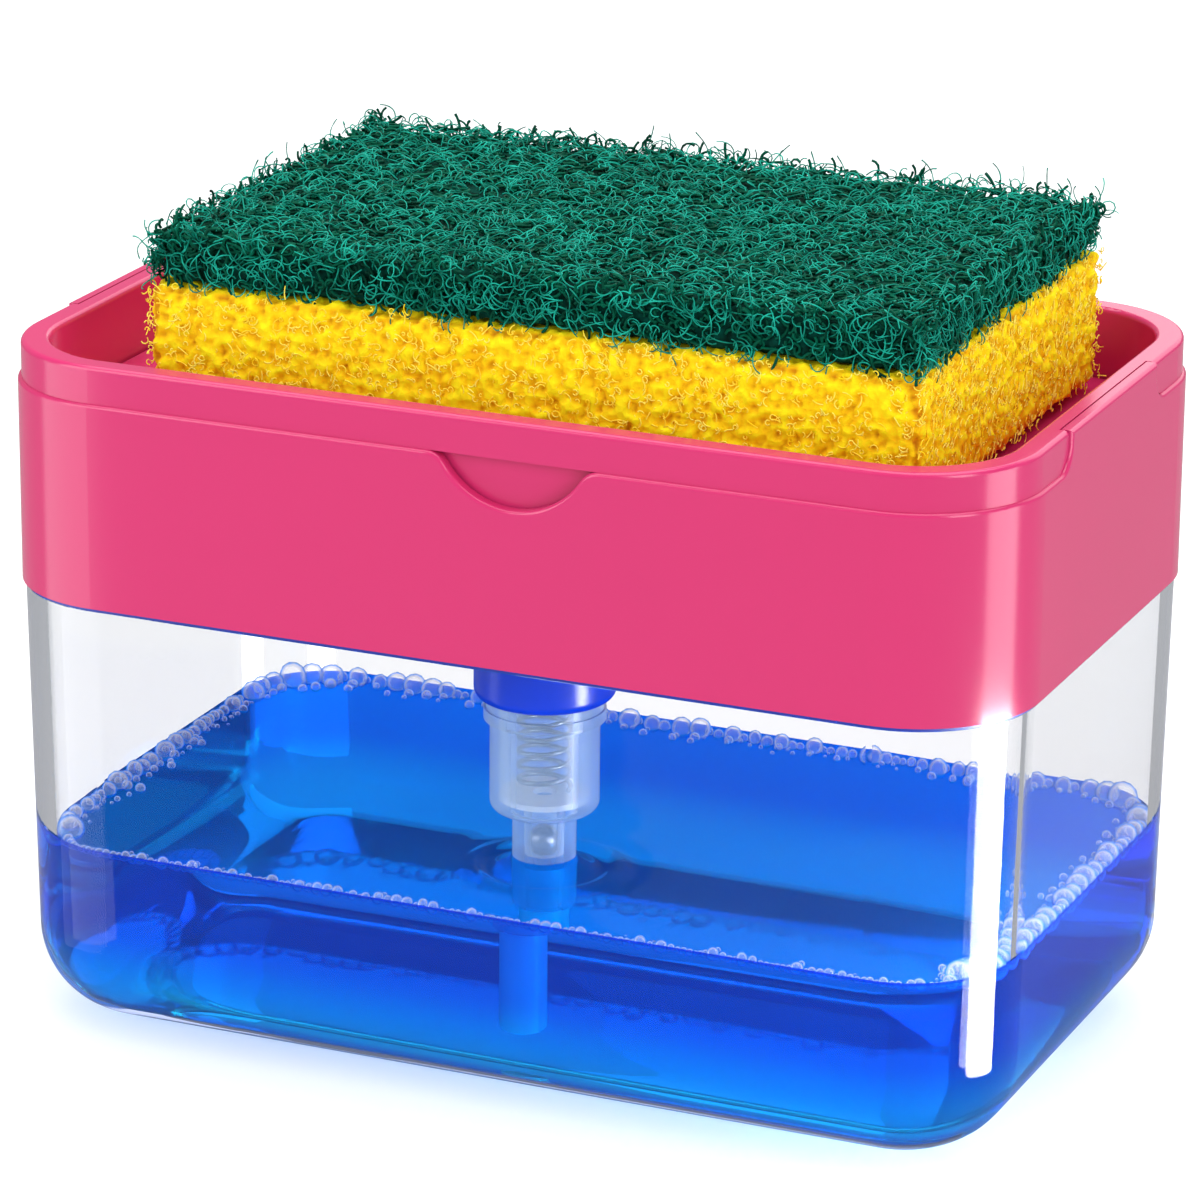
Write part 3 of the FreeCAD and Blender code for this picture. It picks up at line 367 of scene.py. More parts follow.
# %% Clear plastics and steel
def lets_light_through(tree, shader, tint, bounces):
    """Lets lamps shine through a clear piece, and lets light leave it after so many bounces inside."""
    rays = add(tree, "LightPath")
    trapped = add(tree, "Math", operation="GREATER_THAN")
    trapped.inputs[1].default_value = bounces - 0.5
    tree.links.new(rays.outputs["Glossy Depth"], trapped.inputs[0])
    either = add(tree, "Math", operation="MAXIMUM")
    tree.links.new(rays.outputs["Is Shadow Ray"], either.inputs[0])
    tree.links.new(trapped.outputs[0], either.inputs[1])
    clear = add(tree, "BsdfTransparent")
    clear.inputs["Color"].default_value = (*tint, 1)
    mix = add(tree, "MixShader")
    tree.links.new(either.outputs[0], mix.inputs[0])
    tree.links.new(shader.outputs[0], mix.inputs[1])
    tree.links.new(clear.outputs[0], mix.inputs[2])
    tree.links.new(mix.outputs[0], tree.nodes["Material Output"].inputs["Surface"])


TANK_SHADE = (0.93, 0.95, 0.97)
TANK_BOUNCES = 1
clear_look, clear_tree, clear_shader = moulded(
    "clear_plastic", (0.84, 0.838, 0.83), 0.02, 0.015, 0.01, 0.01, Transmission_Weight=1.0, IOR=1.17)
lets_light_through(clear_tree, clear_shader, TANK_SHADE, TANK_BOUNCES)
tint = add(clear_tree, "VolumeAbsorption")
tint.inputs["Color"].default_value = (0.15, 0.30, 0.75, 1)
tint.inputs["Density"].default_value = 12.0
clear_tree.links.new(tint.outputs[0], clear_tree.nodes["Material Output"].inputs["Volume"])

frosted_look, frosted_tree, frosted_shader = moulded(
    "frosted_plastic", (0.50, 0.72, 1.0), 0.06, 0.24, 0.08, 0.06, Coat_Weight=0.2)
rim_weight = add(frosted_tree, "LayerWeight", blend=0.45)
see_through = add(frosted_tree, "MapRange")
see_through.inputs["To Min"].default_value = 0.20
see_through.inputs["To Max"].default_value = 0.75
frosted_tree.links.new(rim_weight.outputs["Facing"], see_through.inputs["Value"])
frosted_tree.links.new(see_through.outputs["Result"], frosted_shader.inputs["Alpha"])

tube_look, _, _ = moulded("tube_plastic", (0.80, 0.93, 1.0), 0.06, 0.24, 0.08, 0.06, Alpha=0.85)
steel_look, _, _ = moulded("spring_steel", (0.30, 0.33, 0.40), 0.1, 0.24, 0.1, 0.05, Metallic=1.0)
print("clear looks", clear_look.name, frosted_look.name, tube_look.name, "and", steel_look.name)

# %% [markdown]
# Each CAD piece takes one of these finishes. They could be given one by one in the Material tab. A table of
# names is easier to read and to change.

# %% Finishes on the CAD pieces
FINISH = {
    "top_frame": pink_look, "rim_tray": pink_look, "press_plate": pink_look, "tank": clear_look,
    "tank_gasket": seal_look, "pump_collar": blue_look, "pump_washer": washer_look,
    "pump_barrel": frosted_look, "dip_tube": tube_look, "barrel_cap": white_look, "spring_seat": white_look,
    "pump_piston": white_look, "pump_stem": white_look, "pump_actuator": white_look,
    "inlet_ball": steel_look, "outlet_ball": steel_look,
}
for node, look in FINISH.items():
    nodes[node].data.materials.clear()
    nodes[node].data.materials.append(look)
print("finished", len(FINISH), "CAD pieces")

# %% [markdown]
# ## Modelling tools
# Two small helpers: one names a new piece and puts its place into its mesh, and one picks edges or faces by
# a test in edit mode, as you would by clicking on them.

# %% Modelling tools
SMOOTH_ANGLE = math.radians(40)


def fresh(name):
    """Names the new primitive's object and puts its place into its mesh."""
    piece = bpy.context.object
    piece.name = name
    piece.data.name = name
    bpy.ops.object.transform_apply(location=True, rotation=True, scale=True)
    return piece


def choose(piece, kind, test):
    """In edit mode, selects the edges or faces that a test picks, and nothing else."""
    bpy.ops.mesh.select_mode(type="EDGE" if kind == "edges" else "FACE")
    bpy.ops.mesh.select_all(action="DESELECT")
    mesh = bmesh.from_edit_mesh(piece.data)
    for part in getattr(mesh, kind):
        part.select_set(bool(test(part)))
    bmesh.update_edit_mesh(piece.data)


print("modelling tools", fresh.__name__, choose.__name__)

# %% [markdown]
# ## The liquid
# The soap fills the tank to about two fifths. It starts as a flat outline with round corners, is drawn down
# as a wall, and is closed by a row of insets that follow the round base. A Boolean with the tank could cut
# it too, but leaves uneven faces, which bend light badly. It reaches a hair into the tank's wall, because
# wet plastic has no air film. Three more insets dip the top away from the wall.

# %% Liquid body
WALL_OVERLAP = 0.25 * MM
CAD_GAP = 0.15 * MM
soap_low, soap_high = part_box("liquid_soap")
SOAP_LEVEL = soap_high.z
SOAP_FLOOR = soap_low.z - CAD_GAP - WALL_OVERLAP
SOAP_CORNER = 13.9 * MM
SOAP_BASE_ROUND = 10.4 * MM
SOAP_DRAFT = math.tan(math.radians(1.0))
MENISCUS = 0.8 * MM
BASE_STEPS = 10
CORNER_STEPS = 14
NEARLY_FLAT = 0.9
# reach in millimetres, and share of the meniscus's height, of each step from the wall inwards
MENISCUS_STEPS = ((0.35, 0.5), (0.5, 0.3), (0.9, 0.2))
barrel_low, barrel_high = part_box("pump_barrel")
pump_axis = (barrel_low + barrel_high) / 2
soap_length = soap_high.x - soap_low.x + 2 * (CAD_GAP + WALL_OVERLAP)
soap_depth = soap_high.y - soap_low.y + 2 * (CAD_GAP + WALL_OVERLAP)
soap_top = SOAP_LEVEL + MENISCUS

bpy.ops.object.select_all(action="DESELECT")
bpy.ops.mesh.primitive_plane_add(size=1, location=(0, 0, soap_top))
bpy.context.object.scale = (soap_length, soap_depth, 1)
soap = fresh("soap_body")
bpy.ops.object.mode_set(mode="EDIT")
bpy.ops.mesh.select_all(action="SELECT")
bpy.ops.mesh.bevel(offset=SOAP_CORNER, segments=CORNER_STEPS, affect="VERTICES")
choose(soap, "faces", lambda face: True)
wall_drop = soap_top - SOAP_FLOOR - SOAP_BASE_ROUND
bpy.ops.mesh.extrude_region_move(TRANSFORM_OT_translate={"value": (0, 0, -wall_drop)})
narrower = 2 * wall_drop * SOAP_DRAFT
bpy.ops.transform.resize(value=(1 - narrower / soap_length, 1 - narrower / soap_depth, 1),
                         center_override=(0, 0, SOAP_FLOOR))
bpy.ops.mesh.select_all(action="SELECT")
bpy.ops.mesh.normals_make_consistent(inside=False)
choose(soap, "faces", lambda face: face.normal.z < -NEARLY_FLAT)
for step in range(BASE_STEPS):
    here = math.pi / 2 * step / BASE_STEPS
    there = math.pi / 2 * (step + 1) / BASE_STEPS
    bpy.ops.mesh.inset(thickness=SOAP_BASE_ROUND * (math.cos(here) - math.cos(there)),
                       depth=SOAP_BASE_ROUND * (math.sin(there) - math.sin(here)))
choose(soap, "faces", lambda face: face.normal.z > NEARLY_FLAT)
for reach, drop_share in MENISCUS_STEPS:
    bpy.ops.mesh.inset(thickness=reach * MM, depth=-drop_share * MENISCUS)
bpy.ops.mesh.delete(type="ONLY_FACE")
print("liquid body", len(bmesh.from_edit_mesh(soap.data).faces), "faces")

# %% [markdown]
# Rings run out from the pump's nose, and the liquid climbs the nose a little. The Wave modifier could make
# them, but needs a dense grid. Here each ring is drawn from the one outside it: extruded up or down, then
# scaled in. At the end the flat part between wall and rings is filled.

# %% Ripples
# radius and height of each ripple ring in millimetres, from the outermost to the nose
RIPPLES = [
    (19.0, 0.0), (17.0, 0.02), (15.5, 0.10), (14.2, 0.02), (12.8, -0.10), (11.4, 0.02), (10.0, 0.35),
    (9.0, 0.12), (8.2, -0.20), (7.2, -0.10), (6.3, 0.25), (5.6, 0.75), (5.0, 1.0), (4.6, 1.6), (4.2, 2.0),
]
RING_POINTS = 72
MERGE_WITHIN = 1e-6
first_radius = RIPPLES[0][0] * MM
bpy.ops.mesh.select_mode(type="EDGE")
bpy.ops.mesh.primitive_circle_add(vertices=RING_POINTS, radius=first_radius,
                                  location=(pump_axis.x, pump_axis.y, SOAP_LEVEL))
for (outer, low), (inner, high) in zip(RIPPLES, RIPPLES[1:]):
    bpy.ops.mesh.extrude_region_move(TRANSFORM_OT_translate={"value": (0, 0, (high - low) * MM)})
    share = inner / outer
    bpy.ops.transform.resize(value=(share, share, 1), center_override=(pump_axis.x, pump_axis.y, SOAP_LEVEL))
bpy.ops.mesh.edge_face_add()
choose(soap, "edges", lambda edge: edge.is_boundary)
bpy.ops.mesh.fill(use_beauty=True)
bpy.ops.mesh.select_all(action="SELECT")
bpy.ops.mesh.remove_doubles(threshold=MERGE_WITHIN)
bpy.ops.mesh.normals_make_consistent(inside=False)
bpy.ops.object.mode_set(mode="OBJECT")
bpy.ops.object.shade_smooth_by_angle(angle=SMOOTH_ANGLE)
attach(soap, "base")
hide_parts("liquid_soap")
print("liquid", len(soap.data.polygons), "faces")

# %% [markdown]
# The liquid has two finishes. The body bends light like water and stains what passes through it a strong
# blue. Near the floor its colour is lighter, which is painted light for the light that comes in from the
# paper. The top is stained too, but hardly bends or mirrors light. Absorption in the volume would be truer,
# but staining the faces is quicker and has less noise.

# %% Liquid finishes
# painted light: between these two heights the liquid's colour lightens towards the floor, for the light that
# comes in from the paper
LOW_PAINTED_LIGHT_FROM = soap_low.z + 1 * MM
LOW_PAINTED_LIGHT_TO = soap_low.z + 13 * MM
SOAP_SHADE = (0.66, 0.67, 0.70)
SOAP_BOUNCES = 2
TOP_TILT = 0.3
TOP_BAND = 1 * MM


def stained(name, painted_low_light_colour, colour, bend, clear, swell_strength):
    """A clear liquid that stains what passes through it, made lighter at its floor by painted light, with a
    slow swell.
    """
    look, tree, shader = new_look(name)
    shader.inputs["Roughness"].default_value = 0.02
    shader.inputs["IOR"].default_value = bend
    shader.inputs["Specular IOR Level"].default_value = 0.3
    shader.inputs["Transmission Weight"].default_value = clear
    where = add(tree, "TexCoord")
    parts = add(tree, "SeparateXYZ")
    tree.links.new(where.outputs["Object"], parts.inputs[0])
    height = add(tree, "MapRange", interpolation_type="SMOOTHSTEP")
    height.inputs["From Min"].default_value = LOW_PAINTED_LIGHT_FROM
    height.inputs["From Max"].default_value = LOW_PAINTED_LIGHT_TO
    tree.links.new(parts.outputs["Z"], height.inputs["Value"])
    # the soap's own blue, mixed with painted light towards the floor
    stain_and_low_light = add(tree, "Mix", data_type="RGBA")
    # a Mix node's colours go in at 6 and 7, and come out at 2
    stain_and_low_light.inputs[6].default_value = (*painted_low_light_colour, 1)
    stain_and_low_light.inputs[7].default_value = (*colour, 1)
    tree.links.new(height.outputs["Result"], stain_and_low_light.inputs[0])
    tree.links.new(stain_and_low_light.outputs[2], shader.inputs["Base Color"])
    swell = add(tree, "TexNoise", scale=38.0, detail=2.0)
    tree.links.new(where.outputs["Object"], swell.inputs["Vector"])
    bump = add(tree, "Bump", strength=swell_strength, distance=0.0012)
    tree.links.new(swell.outputs["Fac"], bump.inputs["Height"])
    tree.links.new(bump.outputs["Normal"], shader.inputs["Normal"])
    lets_light_through(tree, shader, SOAP_SHADE, SOAP_BOUNCES)
    return look


soap.data.materials.append(stained("blue_soap", (0.0, 0.40, 1.0), (0.0, 0.072, 0.84), 1.34, 0.84, 0.02))
soap.data.materials.append(stained("blue_soap_top", (0.0, 0.22, 1.0), (0.0, 0.22, 1.0), 1.04, 0.80, 0.12))
for face in soap.data.polygons:
    if face.normal.z > TOP_TILT and face.center.z > SOAP_LEVEL - TOP_BAND:
        face.material_index = 1
print("liquid top", sum(face.material_index for face in soap.data.polygons), "faces")

# %% [markdown]
# ## The froth
# A line of bubbles clings to the wall all round. Particles could scatter them, but not in a row whose sizes
# change from place to place. So this walks along the wall's inside line: straight runs and quarter rounds,
# from the middle of the front and back to it.

# %% The wall's line
FROTH_INSET = 0.5 * MM
half_x = (soap_high.x - soap_low.x) / 2 - FROTH_INSET
half_y = (soap_high.y - soap_low.y) / 2 - FROTH_INSET
FROTH_CORNER = 13.0 * MM
straight_x = half_x - FROTH_CORNER
straight_y = half_y - FROTH_CORNER
quarter = FROTH_CORNER * math.pi / 2
perimeter = 4 * (straight_x + straight_y + quarter)


def wall_point(distance):
    """A point of the wall's line and the way inwards, at a distance along it from the middle of the front."""
    runs = [(straight_x, (0, -half_y), (1, 0)), (quarter, (straight_x, -straight_y), -90),
            (2 * straight_y, (half_x, -straight_y), (0, 1)), (quarter, (straight_x, straight_y), 0),
            (2 * straight_x, (straight_x, half_y), (-1, 0)), (quarter, (-straight_x, straight_y), 90),
            (2 * straight_y, (-half_x, straight_y), (0, -1)), (quarter, (-straight_x, -straight_y), 180),
            (straight_x, (-straight_x, -half_y), (1, 0))]
    left = distance % perimeter
    for length, start, way in runs:
        if left <= length:
            if isinstance(way, tuple):
                x, y = start[0] + way[0] * left, start[1] + way[1] * left
                return x, y, -way[1], way[0]
            angle = math.radians(way) + left / FROTH_CORNER
            return (start[0] + FROTH_CORNER * math.cos(angle), start[1] + FROTH_CORNER * math.sin(angle),
                    -math.cos(angle), -math.sin(angle))
        left -= length
    return 0.0, -half_y, 0.0, 1.0


print("wall line", round(perimeter / MM), "mm round")

# %% [markdown]
# One bubble is a rough ball, copied to each place with its own size and a slight unevenness. Spheres with
# more faces would look the same at this size.

# %% One bubble
bpy.ops.object.select_all(action="DESELECT")
bpy.ops.mesh.primitive_ico_sphere_add(subdivisions=2, radius=1.0)
bubble = bpy.context.object
bpy.ops.object.shade_smooth()
bubbles = []


def add_bubble(x, y, radius, lift):
    """A copy of the ball, a little uneven, whose middle lies above the liquid by a share of its radius."""
    copy = bubble.copy()
    copy.data = bubble.data.copy()
    copy.location = (x, y, SOAP_LEVEL + radius * lift)
    copy.scale = (radius * random.uniform(0.9, 1.1), radius * random.uniform(0.9, 1.1), radius)
    copy.rotation_euler = (random.uniform(0, 3), random.uniform(0, 3), random.uniform(0, 3))
    scene.collection.objects.link(copy)
    bubbles.append(copy)


print("one bubble", len(bubble.data.polygons), "faces")

# %% [markdown]
# There are small beads along the front, and larger cells at the back and in the corners, with smaller ones
# before them. A step is a little less than a bubble's width, so that neighbours touch. At the end all are
# joined.

# %% Froth
FROTH_SEED = 7
FRONT_ZONE = 4 * MM
# radii in millimetres
FRONT_BEADS = (0.4, 0.5, 0.55, 0.7, 0.9)
CORNER_CELLS = (1.0, 1.3, 1.6, 1.9, 2.1)
WALL_CELLS = (0.7, 0.9, 1.1, 1.4, 1.7)
# in radii of the bubble: how far its middle stands off the wall's line, and the step to the next one
OFF_WALL = 0.6
STEP = 1.7
random.seed(FROTH_SEED)
walked = 0.0
while walked < perimeter:
    x, y, in_x, in_y = wall_point(walked)
    at_front = y < -half_y + FRONT_ZONE
    in_corner = abs(x) > straight_x and abs(y) > straight_y
    sizes = FRONT_BEADS if at_front else CORNER_CELLS if in_corner else WALL_CELLS
    rows, chance = (1, 0.25) if at_front else (2, 0.7)
    radius = random.choice(sizes) * MM
    add_bubble(x + in_x * radius * OFF_WALL, y + in_y * radius * OFF_WALL, radius, random.uniform(0.1, 0.5))
    for row in range(1, rows + 1):
        if random.random() < chance:
            off = random.uniform(0.6, 1.6) * row * MM + radius
            small = radius * random.uniform(0.25, 0.6)
            add_bubble(x + in_x * off, y + in_y * off, small, random.uniform(0.0, 0.4))
    walked += radius * STEP
bpy.ops.object.select_all(action="DESELECT")
for copy in bubbles:
    copy.select_set(True)
bpy.context.view_layer.objects.active = bubbles[0]
bpy.ops.object.join()
froth = fresh("soap_froth")
bpy.data.objects.remove(bubble)
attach(froth, "base")
print("froth", len(bubbles), "bubbles,", len(froth.data.polygons), "faces")

# %% [markdown]
# A bubble is nearly clear where it faces you and blue at its rim. The Layer Weight node drives both. A
# glass shader would be truer, but hundreds of films behind each other would take long to render.

# %% Bubble finish
froth_look, tree, shader = new_look("bubble_film")
shader.inputs["Roughness"].default_value = 0.04
shader.inputs["IOR"].default_value = 1.33
facing = add(tree, "LayerWeight", blend=0.5)
film = add(tree, "MapRange")
film.inputs["From Min"].default_value = 0.1
film.inputs["From Max"].default_value = 0.8
film.inputs["To Min"].default_value = 0.10
film.inputs["To Max"].default_value = 0.72
tree.links.new(facing.outputs["Facing"], film.inputs["Value"])
tree.links.new(film.outputs["Result"], shader.inputs["Alpha"])
edge = add(tree, "ValToRGB")
edge.color_ramp.elements[0].position = 0.30
edge.color_ramp.elements[0].color = (0.95, 0.97, 1.0, 1)
edge.color_ramp.elements[1].position = 0.62
edge.color_ramp.elements[1].color = (0.04, 0.30, 0.95, 1)
tree.links.new(facing.outputs["Facing"], edge.inputs[0])
tree.links.new(edge.outputs["Color"], shader.inputs["Base Color"])
froth.data.materials.append(froth_look)
print("bubble finish", froth_look.name)

# %% [markdown]
# ## The pump's spring
# The spring shows through the barrel; on the real pump it gets shorter when the plate is pressed. A ring of
# wire is swept up a helix with the Screw modifier, and its two ends are closed.

# %% Spring
SPRING_WIRE = 0.7 * MM
SPRING_TURNS = 6
WIRE_POINTS = 12
TURN_STEPS = 32
spring_low, spring_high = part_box("pump_spring")
spring_middle = (spring_low + spring_high) / 2
coil_radius = (spring_high.x - spring_low.x - SPRING_WIRE) / 2
coil_rise = spring_high.z - spring_low.z - SPRING_WIRE
bpy.ops.object.select_all(action="DESELECT")
bpy.ops.mesh.primitive_circle_add(vertices=WIRE_POINTS, radius=SPRING_WIRE / 2, location=(coil_radius, 0, 0),
                                  rotation=(math.radians(90), 0, 0))
spring = fresh("pump_coil")
bpy.ops.object.modifier_add(type="SCREW")
sweep = spring.modifiers[-1]
sweep.iterations = SPRING_TURNS
sweep.screw_offset = coil_rise / SPRING_TURNS
sweep.steps = TURN_STEPS
sweep.render_steps = TURN_STEPS
bpy.ops.object.modifier_apply(modifier=sweep.name)
bpy.ops.object.mode_set(mode="EDIT")
bpy.ops.mesh.select_all(action="SELECT")
bpy.ops.mesh.fill_holes(sides=0)
bpy.ops.mesh.select_all(action="SELECT")
bpy.ops.mesh.normals_make_consistent(inside=False)
bpy.ops.object.mode_set(mode="OBJECT")
spring.location = (spring_middle.x, spring_middle.y, spring_low.z + SPRING_WIRE / 2)
bpy.ops.object.transform_apply(location=True, rotation=True, scale=True)
bpy.ops.object.shade_smooth_by_angle(angle=SMOOTH_ANGLE)
spring.data.materials.append(steel_look)
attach(spring, "frame")
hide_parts("pump_spring")
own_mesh(spring)
print("spring", len(spring.data.polygons), "faces,", round(coil_rise / MM, 1), "mm tall")

# %% [markdown]
# ## The foam of the sponge
# Cut foam is a net of fine struts round open cells. Bump alone would leave its outline straight. So the
# block is rounded and remeshed to an even grid, and a pattern can push its surface about.

# %% Foam block
FOAM_INSET = 0.35 * MM
FOAM_ROUND = 1.6 * MM
FOAM_GRAIN = 0.55 * MM


def even_block(name, low, high, rounding, grain):
    """A box between two corners, with round edges and an even grid of small faces."""
    bpy.ops.object.select_all(action="DESELECT")
    bpy.ops.mesh.primitive_cube_add(size=1, location=(low + high) / 2, scale=high - low)
    piece = fresh(name)
    bpy.ops.object.mode_set(mode="EDIT")
    choose(piece, "edges", lambda edge: True)
    bpy.ops.mesh.bevel(offset=rounding, segments=2, affect="EDGES")
    bpy.ops.object.mode_set(mode="OBJECT")
    grid = piece.modifiers.new("even_grid", "REMESH")
    grid.mode = "VOXEL"
    grid.voxel_size = grain
    bpy.ops.object.modifier_apply(modifier=grid.name)
    return piece


foam_low, foam_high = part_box("sponge_foam")
foam = even_block("foam_block", foam_low + Vector((FOAM_INSET,) * 3),
                  foam_high - Vector((FOAM_INSET, FOAM_INSET, 0)), FOAM_ROUND, FOAM_GRAIN)
print("foam grid", len(foam.data.polygons), "faces")

# %% [markdown]
# A cell pattern pushes the middle of each cell inwards, and a finer one roughens it. How deep each point then
# lies is kept on the mesh, so that the pits can be painted darker, as painted shade.

# %% Foam cells
CELL_SIZE = 1.5 * MM
CELL_PUSH = 1.0 * MM
CELL_MIDDLE = 0.75
LUMP_SIZE = 0.7 * MM
LUMP_PUSH = 0.4 * MM
PIT_SHADE_DEPTH = 1.1 * MM


def push_by(piece, texture, strength, middle=0.5):
    """Pushes a surface in and out by a texture, which stays still at its middle level."""
    push = piece.modifiers.new(texture.name, "DISPLACE")
    push.texture = texture
    push.texture_coords = "LOCAL"
    push.strength = strength
    push.mid_level = middle
    bpy.ops.object.modifier_apply(modifier=push.name)


cells = bpy.data.textures.new("foam_cells", "VORONOI")
cells.noise_scale = CELL_SIZE
cells.weight_1 = 1.0
cells.noise_intensity = 1.3
lumps = bpy.data.textures.new("foam_lumps", "CLOUDS")
lumps.noise_scale = LUMP_SIZE
lumps.noise_depth = 2
push_by(foam, cells, CELL_PUSH, CELL_MIDDLE)
push_by(foam, lumps, LUMP_PUSH)
pushed = np.array([v.co for v in foam.data.vertices])
middle_of_foam = np.array((foam_low + foam_high) / 2)
half_foam = np.array((foam_high - foam_low) / 2)
inside = np.min(half_foam - np.abs(pushed - middle_of_foam), axis=1)
depth = foam.data.attributes.new("pit_shade_depth", "FLOAT", "POINT")
depth.data.foreach_set("value", np.clip(inside / PIT_SHADE_DEPTH, 0, 1).astype(np.float32))
bpy.ops.object.shade_smooth()
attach(foam, "sponge")
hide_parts("sponge_foam")
print("foam", len(foam.data.polygons), "faces")

# %% [markdown]
# The foam's colour runs from pale yellow on the struts to orange in the pits, by the depth kept on the mesh.
# The orange in the pits is painted shade. Light spreads a little under its surface.

# %% Foam finish
foam_look, tree, shader = new_look("yellow_foam")
where = add(tree, "TexCoord")
pit_shade = add(tree, "Attribute", attribute_name="pit_shade_depth")
small_cells = add(tree, "TexVoronoi", scale=900.0, feature="F1")
tree.links.new(where.outputs["Object"], small_cells.inputs["Vector"])
# painted shade: the colour turns a darker orange the deeper a point lies in a pit
tone = add(tree, "ValToRGB")
tone.color_ramp.elements[0].position = 0.12
tone.color_ramp.elements[0].color = (1.0, 0.814, 0.0048, 1)
tone.color_ramp.elements[1].position = 0.95
tone.color_ramp.elements[1].color = (0.66, 0.25, 0.0, 1)
yellow = tone.color_ramp.elements.new(0.5)
yellow.color = (1.0, 0.64, 0.002, 1)
tree.links.new(pit_shade.outputs["Fac"], tone.inputs["Fac"])
tree.links.new(tone.outputs["Color"], shader.inputs["Base Color"])
bump = add(tree, "Bump", strength=0.6, distance=0.0004)
tree.links.new(small_cells.outputs["Distance"], bump.inputs["Height"])
tree.links.new(bump.outputs["Normal"], shader.inputs["Normal"])
shader.inputs["Roughness"].default_value = 0.75
shader.inputs["Specular IOR Level"].default_value = 0.15
shader.inputs["Subsurface Weight"].default_value = 0.25
shader.inputs["Subsurface Radius"].default_value = (0.0012, 0.0006, 0.0002)
foam.data.materials.append(foam_look)
print("foam finish", foam_look.name)

# %% [markdown]
# ## The scouring pad
# The pad is a felt of stiff curled fibres. Fibres all the way through would be far too many, so a dark,
# uneven core fills the pad, and no light shows between the fibres that lie on it. The core's dark colour is
# painted shade for the inside of the pad.

# %% Pad core
CORE_INSET = 1.6 * MM
CORE_ROUND = 1.2 * MM
CORE_GRAIN = 1.0 * MM
TANGLE_SIZE = 1.6 * MM
TANGLE_PUSH = 1.6 * MM
pad_low, pad_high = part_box("scour_pad")
core = even_block("pad_core", pad_low + Vector((CORE_INSET, CORE_INSET, 0)),
                  pad_high - Vector((CORE_INSET,) * 3), CORE_ROUND, CORE_GRAIN)
tangle = bpy.data.textures.new("pad_tangle", "CLOUDS")
tangle.noise_scale = TANGLE_SIZE
push_by(core, tangle, TANGLE_PUSH)
bpy.ops.object.shade_smooth()
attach(core, "sponge")
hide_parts("scour_pad")
print("pad core", len(core.data.polygons), "faces")

# %% [markdown]
# Thousands of short curled fibres lie on the core. Blender's hair could make them, but the pieces are
# handed on as meshes. So each fibre is a curve with a few points, which bends in the plane of its face and
# arches out of it. They are drawn as one curve object with a round section, and made a mesh at the end.

# %% Fibre tools
def curl(start, along, outward, length, bend, arch, knots):
    """Points of a curled fibre: it bends steadily in the plane of its face, and arches out of that plane."""
    points = [start]
    way = along.copy()
    step = length / (knots - 1)
    turn = Matrix.Rotation(bend / (knots - 1), 3, outward)
    for index in range(1, knots):
        way = turn @ way
        height = math.cos(math.pi * (index - 0.5) / (knots - 1)) * arch
        points.append(points[-1] + (way + outward * height) * step)
    return points


def random_way(outward):
    """A direction in the plane of a face."""
    angle = random.uniform(0, math.tau)
    first = outward.orthogonal().normalized()
    second = outward.cross(first)
    return first * math.cos(angle) + second * math.sin(angle)


def draw_fibres(name, count, thickness, place, shape, slot, knots=6):
    """Fibres as one curve object with a thin round section, made a mesh."""
    curve = bpy.data.curves.new(name, "CURVE")
    curve.dimensions = "3D"
    curve.bevel_depth = thickness / 2
    curve.bevel_resolution = 0
    for _ in range(count):
        start, outward = place()
        length, bend, arch = shape()
        points = curl(start, random_way(outward), outward, length, bend, arch, knots)
        spline = curve.splines.new("POLY")
        spline.points.add(len(points) - 1)
        for knot, point in zip(spline.points, points):
            knot.co = (*point, 1)
            knot.radius = random.uniform(0.75, 1.15)
    piece = bpy.data.objects.new(name, curve)
    scene.collection.objects.link(piece)
    bpy.ops.object.select_all(action="DESELECT")
    piece.select_set(True)
    bpy.context.view_layer.objects.active = piece
    bpy.ops.object.convert(target="MESH")
    piece = bpy.context.object
    bpy.ops.object.shade_smooth()
    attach(piece, "sponge")
    print(name, len(piece.data.polygons), "faces")
    return piece


print("fibre tools", curl.__name__, random_way.__name__, draw_fibres.__name__)

# %% [markdown]
# Two helpers choose where a fibre starts: somewhere on the pad's top, or on the four sides of a box. Both
# sink it to a chance depth between two limits.

# %% Places for fibres
TOP_EDGE = 1.5 * MM


def on_top(shallow, deep):
    """A chooser of places on the pad's top, sunk between two depths."""
    def place():
        x = random.uniform(pad_low.x + TOP_EDGE, pad_high.x - TOP_EDGE)
        y = random.uniform(pad_low.y + TOP_EDGE, pad_high.y - TOP_EDGE)
        return Vector((x, y, pad_high.z - random.uniform(shallow, deep))), Vector((0, 0, 1))
    return place


def on_sides(low, high, shallow, deep):
    """A chooser of places on the four upright sides of a box, sunk between two depths."""
    width = high.x - low.x
    depth = high.y - low.y

    def place():
        walk = random.uniform(0, 2 * (width + depth))
        sink = random.uniform(shallow, deep)
        z = random.uniform(low.z, high.z)
        if walk < width:
            return Vector((low.x + walk, low.y + sink, z)), Vector((0, -1, 0))
        walk -= width
        if walk < depth:
            return Vector((high.x - sink, low.y + walk, z)), Vector((1, 0, 0))
        walk -= depth
        if walk < width:
            return Vector((low.x + walk, high.y - sink, z)), Vector((0, 1, 0))
        return Vector((low.x + sink, low.y + walk - width, z)), Vector((-1, 0, 0))
    return place


print("places", on_top.__name__, on_sides.__name__)

# %% [markdown]
# Thick fibres lie flat underneath, darkened with painted shade. Thin bright ones rise out of them and dive
# back, which makes the open web that the pad's face shows; their bright teal is painted highlight. The thin
# ones curl further, so they have more points.

# %% Pad fibres
FIBRE_SEED = 11
COARSE = 0.42 * MM
FINE = 0.19 * MM
FINE_KNOTS = 8
SIDE_MARGIN = 0.8 * MM


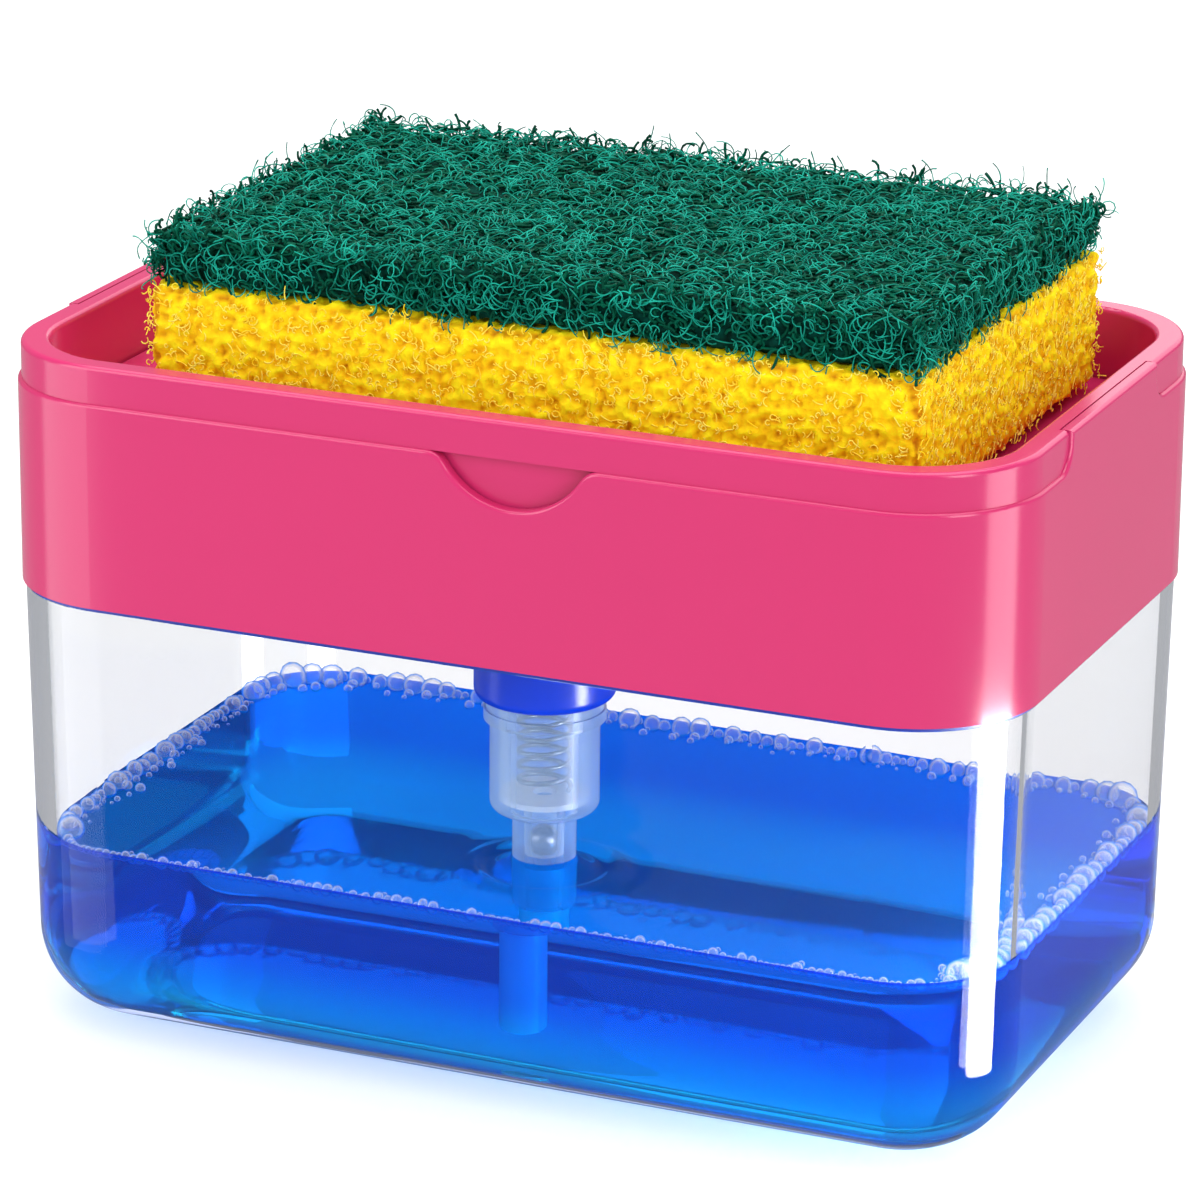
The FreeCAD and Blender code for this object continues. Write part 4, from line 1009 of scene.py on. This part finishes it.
def coarse_curl():
    """Length, bend and arch of a thick fibre."""
    return random.uniform(1.8, 3.2) * MM, random.uniform(-4.2, 4.2), random.uniform(-0.25, 0.18)


def fine_curl():
    """Length, bend and arch of a thin fibre."""
    return random.uniform(2.6, 4.6) * MM, random.uniform(-5.0, 5.0), random.uniform(0.3, 1.0)


random.seed(FIBRE_SEED)
pad_side_low = pad_low + Vector((0, 0, SIDE_MARGIN))
pad_side_high = pad_high - Vector((0, 0, SIDE_MARGIN))
under_fibres = [
    draw_fibres("pad_under_top", 4700, COARSE, on_top(0.5 * MM, 1.8 * MM), coarse_curl, "scourer"),
    draw_fibres("pad_under_sides", 2600, COARSE, on_sides(pad_side_low, pad_side_high, 0.7 * MM, 1.9 * MM),
                coarse_curl, "scourer"),
]
over_fibres = [
    draw_fibres("pad_over_top", 3400, FINE, on_top(0.7 * MM, 1.4 * MM), fine_curl, "scourer", FINE_KNOTS),
    draw_fibres("pad_over_sides", 1700, FINE, on_sides(pad_side_low, pad_side_high, 0.7 * MM, 1.4 * MM),
                fine_curl, "scourer", FINE_KNOTS),
]

# %% [markdown]
# Each layer has a mottled finish between two greens, the core almost black. The darker greens of the under
# fibres and the core's black are painted shade, and the bright teal of the over fibres is painted highlight.

# %% Fibre finishes
def fibre_look(name, dark, light, roughness, scale):
    """A mottled fibre finish between two colours."""
    look, tree, shader = new_look(name)
    where = add(tree, "TexCoord")
    mottle = add(tree, "TexNoise", scale=scale, detail=2.0)
    tree.links.new(where.outputs["Object"], mottle.inputs["Vector"])
    tone = add(tree, "ValToRGB")
    tone.color_ramp.elements[0].position = 0.32
    tone.color_ramp.elements[0].color = (*dark, 1)
    tone.color_ramp.elements[1].position = 0.70
    tone.color_ramp.elements[1].color = (*light, 1)
    tree.links.new(mottle.outputs["Fac"], tone.inputs["Fac"])
    tree.links.new(tone.outputs["Color"], shader.inputs["Base Color"])
    shader.inputs["Roughness"].default_value = roughness
    shader.inputs["Specular IOR Level"].default_value = 0.06
    return look


# painted shade on the under fibres and the core, painted highlight on the over fibres
under_green_and_shade_look = fibre_look("green_under_and_painted_shade", (0.0, 0.034, 0.019), (0.0, 0.12, 0.066), 0.45, 300.0)
over_green_and_highlight_look = fibre_look("green_over_and_painted_highlight", (0.0, 0.11, 0.070), (0.015, 0.47, 0.345), 0.30, 350.0)
core_shade_look = fibre_look("green_core_painted_shade", (0.0, 0.012, 0.008), (0.0, 0.060, 0.042), 0.8, 700.0)
for piece in under_fibres:
    piece.data.materials.append(under_green_and_shade_look)
for piece in over_fibres:
    piece.data.materials.append(over_green_and_highlight_look)
core.data.materials.append(core_shade_look)
print("fibre finishes", under_green_and_shade_look.name, over_green_and_highlight_look.name, core_shade_look.name)

# %% [markdown]
# The foam's own struts catch the light as a net of pale lines over the pits. They are the same kind of
# curl, finer and flatter, on the foam's four sides.

# %% Foam struts
STRUT = 0.18 * MM
STRUT_MARGIN = 0.6 * MM


def strut():
    """Length, bend and arch of a strut."""
    return random.uniform(0.9, 1.9) * MM, random.uniform(-5.5, 5.5), random.uniform(0.0, 0.10)


strut_low = foam_low + Vector((0, 0, STRUT_MARGIN))
struts = draw_fibres("foam_struts", 4800, STRUT, on_sides(strut_low, foam_high, 0.10 * MM, 0.4 * MM), strut,
                     "foam")
strut_look = fibre_look("foam_strut", (1.0, 0.70, 0.01), (1.0, 0.90, 0.16), 0.4, 400.0)
struts.data.materials.append(strut_look)
